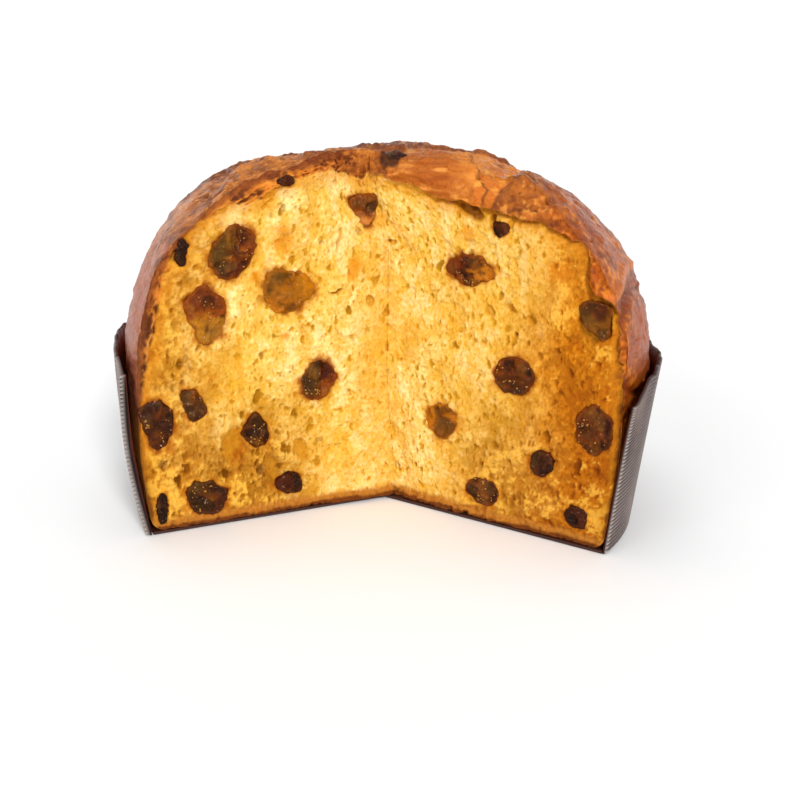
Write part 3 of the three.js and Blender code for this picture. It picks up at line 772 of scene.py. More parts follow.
def hollow_share(across, up, hollow):
    """1 in the middle of a hollow, 0 past its edge: an oval turned by some degrees, with a ragged rim."""
    x, y, half_wide, half_tall, tilt, _ = hollow
    c, s = np.cos(np.radians(tilt)), np.sin(np.radians(tilt))
    ragged = noise(flat_at(across, up), 2.0, 113)
    dx, dy = across - x + 0.5 * ragged, up - y - 0.5 * ragged
    return 1 - smooth(0.55, 1.15, np.hypot((dx * c + dy * s) / half_wide, (dy * c - dx * s) / half_tall))


def crumb_texture(across, up):
    """Height of the torn crumb over the flat cut, the depth of its pores and its torn fibres. Ridges and
    pores are in space that is squeezed upwards and warped, so they come out tall and crooked. Flakes are
    steps along the zero line of a noise, where one layer was pulled off another."""
    flat = flat_at(across, up)
    a = across + 1.3 * noise(flat, 9.0, 41) + 0.5 * noise(flat, 2.2, 48) + 0.35 * noise(flat, 1.2, 55)
    b = 0.64 * up + 1.0 * noise(flat, 9.0, 42) + 0.45 * noise(flat, 2.4, 49) + 0.3 * noise(flat, 1.2, 56)
    torn = ridges(flat_at(a, b), 3.0, 44, 3, 0.85)
    holes = pores(a, b)
    flake = noise(flat, 13.0, 52) + 0.35 * noise(flat, 3.4, 53) + 0.12 * noise(flat, 1.3, 54)
    flake = smooth(-0.05, 0.05, flake)
    broad = 0.6 * noise(flat, 15.0, 43) + 0.45 * noise(flat, 6.0, 50) + 0.6 * (flake - 0.5)
    fluff = layers(flat, 2.3, 51, 2, 0.85)
    return broad + 0.4 * (torn - 0.6) - 0.95 * holes + 0.26 * fluff, holes, torn


square = np.meshgrid(np.arange(0, 40, 0.3), np.arange(0, 40, 0.3))
print("share of pores", float((pores(*square) > 0.2).mean()))


# %% Crumb faces
def nearest_fruit(side, across, up):
    """The smallest share of the way to the edge over all fruit of a face."""
    shares = [share_of_fruit(across, up, name) for name in FACE_FRUIT if FACE_FRUIT[name][0] == side]
    return np.min(shares, 0)


def crumb_face(side):
    """Points of a face over its chart, and the fields that its colours come from."""
    along, z = cut_chart(side)
    across = chart_sign(side) * along
    depth = depth_in_bread(side, along, z)
    edge_point = flat_point(side, along, z, -crust_inset(side, along))
    in_dome = depth_in_dome(np.hypot(edge_point[..., 0], edge_point[..., 1]), z)
    past = past_crust_line(side, along, z)
    flat = flat_at(across, z)
    height, holes, torn = crumb_texture(across, z)
    fruit = nearest_fruit(side, across, z)
    height = height - POCKET_DEPTH * (1 - smooth(0.82, 0.99, fruit))
    hollow = np.max([hollow_share(across, z, h) * h[5] for h in HOLLOWS], 0)
    round_edge = np.arctan2(z - 40, along) * 85
    warped = flat_at(0.4 * round_edge + noise(flat, 5, 114), in_dome + 0.8 * noise(flat, 4, 115))
    fibres = ridges(warped, 2.0, 116, 3, 0.8)
    if side == "left":
        baked = smooth(-0.6, 0.6, past)
        skin = 0.1 + 1.5 * (fibres - 0.6) + 0.7 * noise(flat, 6.0, 117) - 0.5 * (1 - smooth(0, 1.6, past))
    else:
        baked = smooth(-0.15, 0.35, past)
        skin = 1.5 + 0.6 * layers(flat, 5.0, 118, 4, 0.55) + 0.5 * (fibres - 0.5) - 0.9 * smooth(2, 8, past)
        height = height - 1.5 * smooth(-3.2, -0.4, past) * smooth(12, 30, along)
    height = mix(height - hollow, skin - hollow * (1 - baked), baked) * smooth(0.0, 1.4, depth)
    inward = 1 - np.clip(in_dome / curl_height(side, along), 0, 1)
    p = torn_aside(flat_point(side, along, z, height - crust_inset(side, along) * inward ** 2))
    near_crust = 1 - smooth(0, 7, depth)
    p = under_lid(p + dome_normal(p) * (crust_relief(p) * near_crust)[..., None])
    fields = {"along": along, "z": z, "across": across, "depth": depth, "height": height, "holes": holes,
              "torn": torn, "fruit": fruit, "hollow": hollow, "past": past, "baked": baked, "fibres": fibres}
    return p, fields


def slab(side, front):
    """Closes a face into a slab: each row goes on behind it, 9 mm into the bread and drawn in a little."""
    along, z = cut_chart(side)
    picks = np.linspace(CRUMB_COLUMNS - 1, 0, BACK_COLUMNS).astype(int)
    behind = flat_point(side, along[:, picks], z[:, picks], np.full((CRUMB_ROWS, BACK_COLUMNS), -SLAB_DEPTH))
    behind = mix(torn_aside(behind), DOME_CENTRE, 0.045)
    behind[..., 2] = np.maximum(behind[..., 2], BREAD_FLOOR)
    rings = np.concatenate([front, behind], 1)
    return rings if side == "right" else rings[:, ::-1]


crumb = {side: crumb_face(side) for side in ("left", "right")}
for side, (p, fields) in crumb.items():
    height = fields["height"]
    print(side, "face, out of the cut from", height.min().round(1), "to", height.max().round(1))

# %% [markdown]
# ## Paint for the crust and the crumb
# Colour is laid on like paint: a base, and then one coat after another over it, each with a weight at
# every point. The weights are the same arrays as the relief's, so many coats are painted light and shade:
# darker in hollows, grooves and creases, and paler on crests. Crust is brown where it stood closest to
# the oven's roof, orange where it opened late, and greyish pink low on the sides, which is a painted sheen.
# Crumb is pale on its torn fibres and golden to brown down in its pores, as painted highlight and painted
# shade, and golden to brown near the crust, and round the fruit, where it is a stain and, at each pocket's
# rim, a painted shadow.


# %% Paint
def paint(tint, *coats):
    """Lays coats over a tint, one after another, each a pair of colour and weight from 0 to 1 at each
    point. A hex colour covers what is under it, and three factors for red, green and blue multiply it."""
    for colour, weight in coats:
        weight = np.clip(weight, 0, 1)[..., None]
        if isinstance(colour, str):
            tint = mix(tint, linear(colour), weight)
        else:
            tint = tint * mix(1.0, np.array(colour), weight)
    return tint


def crust_tint(p):
    """Colours of the crust at points on it, among them painted sheen, painted highlights and painted shade.
    """
    x, y, z = np.moveaxis(p, -1, 0)
    broad, small, fine = layers(p, 24, 71, 3), layers(p, 4.5, 72, 3), noise(p, 1.3, 77)
    low = 1 - smooth(70, 122, z)
    # Greyish pink low on the left side: a painted sheen, the sky reflected on the crust
    mauve_sheen = smooth(38, 78, -x) * smooth(0.05, 0.5, low + 0.25 * small)
    folds, wrinkles = smooth(0.76, 0.97, ridges(p, 15, 23, 2, 0.6)), crust_wrinkles(p)
    dark_specks = smooth(0.35, 0.75, -fine + 0.5 * noise(p, 2.6, 79))
    # Pale streaks in that sheen, painted as highlights
    sheen_streaks = smooth(0.85, 1.0, ridges(p * [1, 1, 0.5], 3.4, 78, 2, 0.6))
    angle = np.arctan2(y, x)
    lobe = lobe_share(angle, z)
    tint = mix(linear("#7C3A0C"), linear("#BC6C24"), smooth(-0.9, 0.7, broad + 0.6 * small)[..., None])
    tint = paint(tint,
                 # Painted sheen low on the left side
                 ("#AA5E48", 0.9 * mauve_sheen),
                 ("#A85418", 0.7 * smooth(30, 85, x)),
                 # Dark in the fold grooves and between the wrinkles as painted shade, and orange on the
                 # wrinkles' crests as painted highlight
                 ("#5E2A0E", 0.6 * folds * (1 - mauve_sheen)),
                 ("#6A2E0C", 0.55 * (1 - smooth(0.2, 0.5, wrinkles)) * (1 - 0.7 * mauve_sheen)),
                 ("#CF7A34", 0.5 * smooth(0.68, 0.9, wrinkles) * (1 - 0.7 * mauve_sheen)),
                 ("#E0913C", 0.7 * smooth(0.35, 0.7, fine + 0.4 * small) * (1 - 0.6 * mauve_sheen)),
                 ("#5A2408", 0.5 * dark_specks * (1 - 0.8 * mauve_sheen)),
                 # Painted highlights: pale streaks in the sheen
                 ("#D9A79A", 0.3 * mauve_sheen * sheen_streaks),
                 # The lobe over the case: a painted sheen in its middle, and a painted shadow in the groove
                 # round its edge
                 ("#A85A3E", 0.85 * (1 - smooth(0.55, 1.0, lobe + 0.12 * small))),
                 ("#7A3414", 0.8 * np.exp(-((lobe - 1.07) / 0.07) ** 2)),
                 # The fold above the lobe: a painted highlight on its crest, and painted shade in the groove
                 # under it
                 ("#D2825C", 0.9 * right_fold(angle, z)),
                 ("#7C3A10", 0.7 * right_fold(angle, z + 3.6)))
    tongue, valley = cross_distances(p)
    high = smooth(98, 118, z)
    streaks = noise(p * [0.35, 0.35, 1.6], 2.2, 73) + 0.6 * noise(p * [0.2, 1.4, 1.4], 1.8, 74)
    edge = np.minimum(tongue, valley)
    rim = smooth(-0.6, 0.8, edge) * (1 - smooth(1.5, 6, edge)) * high
    inside = (1 - smooth(-1.4, 0.4, tongue)) * high
    deep = (1 - smooth(-1.6, 0.2, valley)) * high * (1 - inside)
    right_of_crack, on_crack = crack_side(x, y)
    burnt = np.linalg.norm(p - np.array([0.5, -7, 136.5]), axis=-1) + 1.5 * noise(p, 2.2, 80)
    scorched = smooth(0.35, 1.1, noise(p, 13, 75) + 0.5 * noise(p, 4, 76)) * smooth(0.3, 1, high + 0.2)
    return paint(tint,
                 ("#74381A", 0.55 * rim),
                 ("#B05E1A", inside),
                 ("#A04E12", inside * smooth(0.1, 1.0, streaks)),
                 ("#EFA24C", inside * smooth(0.1, 1.0, -streaks) * 0.65),
                 ("#E08A34", 0.65 * inside * smooth(20, 31, x + 3 * small)),
                 ("#C76E22", deep),
                 ("#E59A3C", deep * smooth(0.1, 0.9, small)),
                 # A painted shadow along the crack in the tongue
                 ("#5A2406", 0.8 * high * on_crack * np.exp(-((right_of_crack - 0.5) / 0.55) ** 2)),
                 ("#54261A", 0.85 * far_rim(x, y)),
                 ("#2E1206", 0.85 * (1 - smooth(3.6, 5.6, burnt))),
                 ("#552409", 0.6 * scorched * (1 - inside)),
                 ((0.97, 0.8, 0.4), smooth(48, 66, x)),
                 ("#B5702C", 1 - smooth(38, 52, z)))


def crumb_tint(side, p, f):
    """Colours of a cut face from its points and fields. The crumb is darkened towards the case as painted
    shade, and there the loose crumbs get painted highlights and the gaps between them painted shade."""
    names = ("across", "z", "depth", "along", "past", "height")
    across, z, depth, along, past, height = (f[key] for key in names)
    flat = flat_at(across, z)
    broad, small, fine = layers(flat, 26, 91, 3), layers(flat, 3.0, 96, 3), noise(flat, 0.9, 97)
    flow = noise(flat_at(across + 6 * noise(flat, 17, 57), 0.45 * z + 5 * noise(flat, 15, 58)), 5.0, 59)
    glow = np.max([1 - smooth(0.3, 1.1, np.hypot((across - x) / wide, (z - y) / tall) + 0.2 * small)
                   for x, y, wide, tall in GLOWS], 0)
    specks = smooth(0.7, 0.82, noise(flat, 1.3, 98)) * smooth(0.2, 0.5, noise(flat, 14, 99))
    # Golden where the face lies low and pale where it stands out: painted shade and painted highlight from
    # the relief's height
    tint = mix(linear("#DBA528"), linear("#F3C765"), smooth(-1.7, -0.3, height + 0.2 * fine)[..., None])
    tint = paint(tint,
                 # Paler on high spots and on torn crests: painted highlights, mixed with noise
                 ("#FFDF94", 0.85 * smooth(-0.3, 0.7, height + 0.4 * broad + 0.4 * small + 0.3 * fine)),
                 ("#FFEAB4", 0.55 * smooth(0.7, 0.9, f["torn"]) * smooth(-0.8, 0.4, broad + small)),
                 # Golden between the torn ridges and golden to brown in the pores: painted shade
                 ("#E2AC30", 0.5 * (1 - smooth(0.3, 0.55, f["torn"]))),
                 ("#CE9614", 0.9 * smooth(0.1, 0.55, f["holes"])),
                 ("#9E6E06", 0.8 * smooth(0.45, 1.2, f["holes"])),
                 ("#EBAE34", 0.5 * smooth(0.15, 0.8, broad)),
                 ("#FFE3A4", 0.5 * smooth(0.25, 0.8, flow + 0.4 * fine)),
                 ("#D99A22", 0.45 * smooth(0.3, 0.8, -flow + 0.4 * fine)),
                 ("#DE8E14", 0.85 * glow),
                 ("#8A6414", 0.5 * specks))
    if side == "right":
        darker = smooth(44, 80, along + 6 * broad)
        tint = paint(tint,
                     ("#E3A62E", 0.35 * smooth(5, 40, along)),
                     # Darker towards the case and darker still at the far edge: painted shade
                     ((0.72, 0.43, 0.05), darker),
                     ((0.72, 0.55, 0.2), 0.8 * smooth(74, 97, along + 4 * small)))
    else:
        darker = smooth(60, 90, along + 5 * broad)
        tint = paint(tint,
                     ("#DDA02E", 0.4 * (1 - smooth(4, 22, along + 4 * broad))),
                     # Darker towards the case: painted shade
                     ((0.68, 0.46, 0.08), 0.85 * darker))
    # Darker low down as painted shade; there the loose crumbs are painted lighter as highlights and the gaps
    # between them darker as shade
    low = (1 - smooth(12, 64, z + 7 * broad)) * smooth(18, 52, along)
    shaded, crumbs = np.maximum(low, darker), height + 0.6 * small + 0.5 * fine
    tint = paint(tint,
                 ((0.54, 0.35, 0.05), 0.88 * low * (1 - 0.6 * darker)),
                 ("#FFC84C", 0.5 * shaded * smooth(0.1, 0.75, crumbs)),
                 ((0.62, 0.5, 0.3), 0.7 * shaded * smooth(0.1, 0.9, -crumbs)),
                 ("#B4740E", 0.65 * (1 - smooth(0.6, 5.0, depth + 1.0 * small))),
                 ("#5E2A08", 0.85 * (1 - smooth(0.3, 1.8, depth + 0.5 * small))),
                 ("#D4881E", 0.6 * (1 - smooth(0.5, 6.5, -past + 1.2 * noise(flat, 5, 92)))),
                 # Round each fruit: a stain in the crumb, and darker at the pocket's rim as painted shadow
                 ("#C87A12", 0.6 * (1 - smooth(0.95, 1.35, f["fruit"] + 0.2 * small))),
                 ("#8A4006", 0.85 * (1 - smooth(0.86, 1.12, f["fruit"] + 0.14 * small))),
                 # Golden and brown down in the hollows: painted shade
                 ("#C98A1C", 0.7 * smooth(0.3, 1.4, f["hollow"])),
                 ("#7C430C", 0.8 * smooth(1.6, 2.4, f["hollow"])))
    if side == "left":
        band = mix(linear("#E0862A"), linear("#A4551A"), smooth(1.0, 6.0, past + 2 * small)[..., None])
        band = paint(band,
                     # Dark between the band's fibres as painted shade, and pale on their crests as painted
                     # highlight
                     ("#5E2A0A", smooth(0.05, 0.5, 0.6 - f["fibres"] + 0.25 * small)),
                     ("#F0A850", 0.8 * smooth(0.66, 0.92, f["fibres"]) * (1 - smooth(3, 8, past))),
                     ("#7E3D18", 0.8 * (1 - smooth(0.8, 3.0, depth))),
                     ((0.78, 0.88, 1.2), 1 - smooth(78, 100, z)))
        band = mix(crust_tint(p), band, smooth(5, 20, along + 5 * small)[..., None])
        by_crown = smooth(2, 9, along) * (1 - smooth(20, 45, along + 6 * small))
        band = paint(band, ((0.72, 0.62, 0.6), by_crown))
    else:
        band = paint(crust_tint(p), ("#C07C2C", 0.7 * (1 - smooth(0.0, 0.9, past))))
        # Painted shadow cast by the crust's edge on the crumb just below it
        tint = paint(tint, ("#A05A10", 0.75 * smooth(-2.2, -0.3, past) * smooth(12, 30, along)))
    sole = z + 0.8 * noise(flat, 9, 94) + 0.4 * noise(flat, 2.2, 95)
    return paint(mix(tint, band, f["baked"][..., None]),
                 ("#B87628", 1 - smooth(4.4, 7.2, sole)),
                 ("#70380F", 1 - smooth(2.3, 3.6, sole)))


tint_of_crust = crust_tint(skin)
tints = np.concatenate([tint_of_crust[:1, 2], tint_of_crust.reshape(-1, 3), tint_of_crust[-1:, 2]])
crust_piece = make_mesh("crust", crust_points, crust_faces, tints)
crumb_pieces = {}
for side, (p, fields) in crumb.items():
    rings = slab(side, p)
    face_tint = crumb_tint(side, p, fields)
    face_tint = np.concatenate([face_tint, np.repeat(face_tint[:, -1:], BACK_COLUMNS, 1)], 1)
    glazed = np.concatenate([fields["baked"], np.zeros((CRUMB_ROWS, BACK_COLUMNS))], 1)
    if side == "left":
        face_tint, glazed = face_tint[:, ::-1], 0.5 * glazed[:, ::-1]
    crumb_pieces[side] = make_mesh(f"crumb_{side}", rings.reshape(-1, 3), tube_faces(*rings.shape[:2]),
                                   face_tint.reshape(-1, 3), {"glazed": glazed.ravel()})

# %% [markdown]
# ## The fruit
# A fruit in the cut is a lump that the knife shaved: a closed skin of rows that widen from a back point
# to its outline and close again to a low front. Noise gives it lumps, ridges of noise give it the
# wrinkles of dried skin, and its colour changes with another noise: maroon skin, amber and olive flesh.


# %% Fruit shapes
def fruit_skin(middle, right, up, out, outline, front, back, seed, rows=34, columns=96):
    """Points of a lump: at row t, 0 at the back to 1 in front, its radius is the outline times the root of
    sin(180t), and its level over the middle goes as -cos(180t). Lumps and wrinkles push it out or in.
    outline gives the radius for an array of angles."""
    t = (np.arange(rows) + 0.5) / rows
    t, angle = np.meshgrid(t, np.arange(columns) * 2 * np.pi / columns, indexing="ij")
    level = -np.cos(np.pi * t)
    radius = outline(angle) * np.sqrt(np.sin(np.pi * t))
    stand = np.where(level > 0, front, back) * np.sign(level) * np.abs(level) ** 0.8
    local = np.stack([radius * np.cos(angle), radius * np.sin(angle), stand], -1)
    shifted = local + 31.0 * seed
    push = 0.9 * noise(shifted, 5.0, 81) + 1.5 * (ridges(shifted, 3.8, 82, 3, 0.6) - 0.55)
    push = push + 0.3 * noise(shifted, 1.3, 83)
    sideways = 0.5 * np.sqrt(np.clip(1 - level ** 2, 0, 1))
    local[..., 0] += push * np.cos(angle) * sideways
    local[..., 1] += push * np.sin(angle) * sideways
    local[..., 2] += push * level
    p = middle + local[..., :1] * right + local[..., 1:2] * up + local[..., 2:] * out
    fields = {"local": local, "push": push, "share": radius / outline(angle), "level": level}
    return capped_points(p[0].mean(0), p, p[-1].mean(0)), capped_faces(rows, columns), fields


FRUIT_COLOURS = {"fig": ("#300A02", "#6E3004", "#B0680A"), "amber_peel": ("#6E3C02", "#B06404", "#DA982A"),
                 "peel": ("#4C1A02", "#7C3A04", "#AE6C22"), "raisin": ("#200702", "#421604", "#6E340E")}
FRUIT_SHADE = {"fig_low_middle": 0.45, "fig_by_case_left": 0.7, "fig_low_left": 0.65, "peel_strip_left": 0.75,
               "fig_shoulder_left": 1.7, "fig_middle_left": 1.6, "fig_upper_left": 1.5,
               "fig_upper_right": 1.5, "peel_near_crease": 1.3, "peel_shoulder_right": 0.85}
# Where a fruit's skin and where its flesh shows: the way from its middle, in degrees, and the colour
# The amber peel's dark upper left side is partly its skin and partly a painted shadow under the crumb
SKIN = {"amber_peel_left": (135, "#46300A"), "fig_shoulder_left": (80, "#4E1C04"),
        "fig_upper_left": (-30, "#4E1404"), "peel_near_crease": (120, "#4E1E06"),
        "fig_upper_right": (150, "#5A1C04"), "peel_strip_left": (170, "#3E2206"),
        "peel_shoulder_right": (120, "#3A1E06"), "fig_low_left": (-20, "#3E1206"),
        "fig_by_case_left": (150, "#301014")}
FLESH = {"fig_shoulder_left": (-90, "#8C5A10"), "amber_peel_left": (-10, "#C07808"),
         "fig_upper_left": (160, "#6A4208"), "peel_near_crease": (-80, "#B87434"),
         "fig_middle_left": (170, "#4A2E08"), "fig_low_left": (160, "#4C3008"),
         "fig_upper_right": (-10, "#A05C0A"), "peel_shoulder_right": (-30, "#8A5006")}


def of_kind(table, name):
    """The entry of a table for a fruit, by how its name starts."""
    return next(table[kind] for kind in table if name.startswith(kind))


def toward(local, degrees):
    """How far a spot of a lump lies toward one side, from about -1 to 1: its place along a direction turned
    by some degrees, over half the lump's width."""
    turn = np.radians(degrees)
    return (local[..., 0] * np.cos(turn) + local[..., 1] * np.sin(turn)) / np.ptp(local[..., 0]) * 2


def fruit_tint(name, fields, seed):
    """Dark to light by how far the lumps stand out, as painted shade and highlight mixed with noise, flesh on
    the side where it shows, dark skin on the other, brown patches of painted sheen and dark hollows from
    noise, and the middle colour round the edge."""
    dark, middle, light = of_kind(FRUIT_COLOURS, name)
    local, push = fields["local"], fields["push"]
    blend = 0.8 * push + 0.7 * noise(local + seed * 7, 6.0, 84) + 0.25 * noise(local + seed * 7, 1.6, 85)
    patches = noise(local + seed * 3, 3.6, 87)
    # Darker where the lumps sink and lighter where they stand out: painted shade and painted highlight, mixed
    # with noise
    tint = mix(linear(dark), linear(middle), smooth(-0.7, 0.4, blend)[..., None])
    tint = paint(tint, (light, 0.75 * smooth(0.5, 1.4, blend)))
    if name in FLESH:
        share = toward(local, FLESH[name][0]) + 0.25 * blend + 0.45 * patches
        tint = paint(tint, (FLESH[name][1], 0.85 * smooth(-0.2, 0.5, share)))
    if name in SKIN:
        share = toward(local, SKIN[name][0]) + 0.3 * patches
        tint = paint(tint, (SKIN[name][1], 0.8 * smooth(0.1, 0.7, share)))
    # Brown-olive patches on the front: a painted sheen
    sheen_patches = smooth(0.1, 0.6, noise(local + seed * 5, 4.4, 88)) * smooth(0.3, 0.8, fields["level"])
    tint = paint(tint, ("#66481E", 0.35 * sheen_patches))
    deep = smooth(0.05, 0.5, noise(local + seed * 11, 4.6, 89) + 0.3 * noise(local + seed * 11, 1.8, 90))
    tint = tint * (1 - (0.2 if name.startswith("amber") else 0.6) * deep[..., None])
    rim = smooth(0.8, 0.98, fields["share"] + 0.06 * blend)
    tint = FRUIT_SHADE.get(name, 1.0) * paint(tint, (middle, 0.6 * rim)).reshape(-1, 3)
    return np.concatenate([tint[:1], tint, tint[-1:]])


fruit_pieces, seed_spots = {}, []
SEEDS_PER_FIG = 12
rng = np.random.default_rng(7)
for seed, (name, (side, along, height, reach)) in enumerate(FACE_FRUIT.items()):
    spot = flat_point(side, np.array(along), np.array(height), np.array(-0.6))
    right_way, up_way = chart_sign(side) * CUT_ALONG[side], np.array([0, 0, 1.0])
    back = 0.55 * min(reach) + 1.5
    points, faces, fields = fruit_skin(torn_aside(spot), right_way, up_way, CUT_OUT[side],
                                       lambda angle: ragged_reach(name, angle), 1.3, back, seed)
    fruit_pieces[name] = make_mesh(f"{name}_lump", points, faces, fruit_tint(name, fields, seed))
    if name.startswith("fig"):
        clustered = noise(fields["local"] + 5 * seed, 5.0, 86) > 0.0
        shown = (fields["level"] > 0.45) & clustered & (fields["share"] < 0.85)
        front = 1 + np.flatnonzero(shown.ravel())
        chosen = rng.choice(front, SEEDS_PER_FIG, replace=False)
        seed_spots.append(points[chosen] + 0.05 * CUT_OUT[side])

CRUST_RAISINS = ["raisin_crown_front", "raisin_dome_right", "raisin_dome_back", "raisin_dome_back_left",
                 "raisin_dome_left"]
for seed, name in enumerate(CRUST_RAISINS):
    p = node_points(name)
    middle = (p.max(0) + p.min(0)) / 2
    out_way = dome_normal(middle)
    right_way = np.cross([0, 0, 1.0], out_way)
    right_way /= np.linalg.norm(right_way)
    up_way = np.cross(out_way, right_way)
    wide, tall = np.ptp(p @ right_way) / 2, np.ptp(p @ up_way) / 2
    slanting = 1 / np.hypot(0.707 / wide, 0.707 / tall)
    reach = [wide, slanting, tall, 0.95 * slanting] * 2
    half_deep = np.ptp(p @ out_way) / 2
    points, faces, fields = fruit_skin(middle, right_way, up_way, out_way,
                                       lambda angle: outline_reach(reach, angle),
                                       half_deep, half_deep, 50 + seed)
    fruit_pieces[name] = make_mesh(f"{name}_lump", under_lid(points), faces, fruit_tint(name, fields, seed))
print("fruit pieces", len(fruit_pieces))

# %% [markdown]
# ## Fig seeds
# What tells a fig from a raisin is its seeds: pale, round and a half to one millimetre across. They lie
# in random groups on the figs' fronts, half sunk. Each is a ball of twenty faces, and all are one mesh.

# %% Fig seeds
golden = (1 + 5 ** 0.5) / 2
BALL = np.array([(a, b * golden, 0) for a in (-1, 1) for b in (-1, 1)])
BALL = np.concatenate([BALL, np.roll(BALL, 1, 1), np.roll(BALL, 2, 1)]) / np.hypot(1, golden)
edge_length = np.sort(np.linalg.norm(BALL[0] - BALL, axis=1))[1]
close = np.abs(np.linalg.norm(BALL[:, None] - BALL[None], axis=2) - edge_length) < 1e-6
BALL_FACES = np.array([(i, j, k) for i in range(12) for j in range(i + 1, 12) for k in range(j + 1, 12)
                       if close[i, j] and close[j, k] and close[i, k]])
corner = BALL[BALL_FACES]
across_face = np.cross(corner[:, 1] - corner[:, 0], corner[:, 2] - corner[:, 0])
inward = np.einsum("ij,ij->i", across_face, corner[:, 0]) < 0
BALL_FACES[inward] = BALL_FACES[inward][:, ::-1]
spots = np.concatenate(seed_spots)
sizes = rng.uniform(0.22, 0.44, (len(spots), 1, 1)) * rng.uniform(0.75, 1.15, (len(spots), 1, 3))
seed_points = (spots[:, None] + BALL[None] * sizes).reshape(-1, 3)
seed_faces = (BALL_FACES[None] + 12 * np.arange(len(spots))[:, None, None]).reshape(-1, 3)
seeds_piece = make_mesh("fig_seeds", seed_points, seed_faces)

# %% [markdown]
# ## The paper case
# Such a case is thick brown paper, pressed into ribs that run round it 1.7 mm apart, and lined so that the
# dough doesn't stick. The ribs are on the outside, and they show as fine teeth along the outline. The
# wall's section, ribs and all, is one closed line, and it is carried round from one cut to the other.
# Its left end splays out a little, and its ribs are deeper there. The base stays the frame's own plate.

# %% Paper wall
RIBS, RIB_STEPS, RIB_DEPTH, WALL_STEPS, LINER_STEPS = 39, 4, 1.1, 430, 9
RIM_TORN_DOWN = {"right": 9.0, "left": 2.5}
# The outside's near-black is painted shade in the ribs' grooves, and the pale crest colours are painted
# highlights
PAPER_INSIDE, GROOVE_SHADE = "#56180A", "#1E0E0C"
CREST_HIGHLIGHT, PALE_CREST, CUT_CREST = "#9C8A84", "#B4A59D", "#BEB0A8"


def cut_turn(side, radius):
    """Angle at which a cut crosses the circle of a radius round the axis."""
    way = CUT_ALONG[side]
    b = CUT_TIP @ way
    along = -b + np.sqrt(b * b - CUT_TIP @ CUT_TIP + radius ** 2)
    p = CUT_TIP + way * along[..., None]
    return np.arctan2(p[..., 1], p[..., 0])


rib_share = np.linspace(1, 0, RIBS * RIB_STEPS + 1)
rib_wave = np.abs(np.sin(np.pi * RIBS * rib_share))
section_share = np.concatenate([rib_share, np.linspace(0, 1, LINER_STEPS)])
section_inset = np.concatenate([RIB_DEPTH * (1 - rib_wave), np.full(LINER_STEPS, WALL_THICKNESS)])
on_outside = np.concatenate([np.ones(rib_share.shape), np.zeros(LINER_STEPS)])
way = np.linspace(0, 1, WALL_STEPS)[:, None]
torn_down = RIM_TORN_DOWN["right"] * (1 - smooth(0, 0.035, way))
torn_down = torn_down + RIM_TORN_DOWN["left"] * (1 - smooth(0, 0.035, 1 - way))
rough_rim = layers(np.stack([way * 420, 0 * way, 0 * way], -1), 3.6, 101, 2, 0.6)
rim_z = WALL_HEIGHT + 0.9 * np.sin(31 * way) + 0.5 * np.sin(77 * way + 2) - torn_down + rough_rim
wall_z = WALL_HEIGHT * section_share + (rim_z - WALL_HEIGHT) * section_share ** 4
deeper = 1 + 0.7 * on_outside * smooth(0.96, 1.0, way)
wall_radius = wall_outside(wall_z) - section_inset * deeper + 0.8 * section_share ** 3 * np.sin(24 * way + 1)
bulge = 1.3 * np.sin(np.pi * section_share) * smooth(0.9, 0.99, way)
splay = (1.0 + 1.3 * np.sin(np.pi * section_share)) * smooth(0.975, 1.0, way)
wall_radius = wall_radius + bulge + splay * mix(0.2, 1.0, on_outside)
start, stop = cut_turn("right", wall_outside(wall_z)), cut_turn("left", wall_outside(wall_z)) + 2 * np.pi
wall_turn = mix(start, stop, way)
wall = np.stack([wall_radius * np.cos(wall_turn), wall_radius * np.sin(wall_turn), wall_z], -1)
crest = np.clip((RIB_DEPTH - section_inset) / RIB_DEPTH * on_outside, 0, 1)
highlight_noise = np.clip(layers(wall, 14, 102, 3), -1, 1)
at_cut = 1 - smooth(0, 0.006, np.minimum(way, 1 - way))
# Outside: painted shade in the grooves and painted highlights on the crests, palest at the left end and at
# the cut ends; inside: the liner's own maroon
wall_tint = paint(mix(linear(PAPER_INSIDE), linear(GROOVE_SHADE), on_outside[:, None]),
                  (CREST_HIGHLIGHT, crest ** 3 * (0.75 + 0.25 * highlight_noise)),
                  (PALE_CREST, smooth(0.86, 0.97, way) * crest ** 2.5 * (0.85 + 0.15 * highlight_noise)),
                  (CUT_CREST, 0.9 * at_cut * crest ** 1.5))
wall_faces = tube_faces(*wall.shape[:2])
wall_piece = make_mesh("case_wall", wall.reshape(-1, 3), wall_faces, wall_tint.reshape(-1, 3))

# %% [markdown]
# ## Materials
# All the surfaces of the bread read their colour from the tint attribute. A material adds what is finer
# than the mesh: grain in the colour and a small bump, both from noise in the object's own millimetres.
# Bread lets light in a little way, so crumb and fruit have subsurface scattering.


# %% Materials
# Painted shade in the small pores of the material: red, green and blue multiplied there
PIT_SHADE = (0.92, 0.76, 0.32)
# Glints are painted highlights: pale spots of this colour
GLINT_MM, GLINT_COLOUR = 0.9, "#E3B79A"
# Numbers of a Mix node's sockets: the share, the two vectors and the two colours, and its outputs
MIX_SHARE, VECTOR_A, VECTOR_B, COLOUR_A, COLOUR_B = 0, 4, 5, 6, 7
VECTOR_OUT, COLOUR_OUT = 1, 2


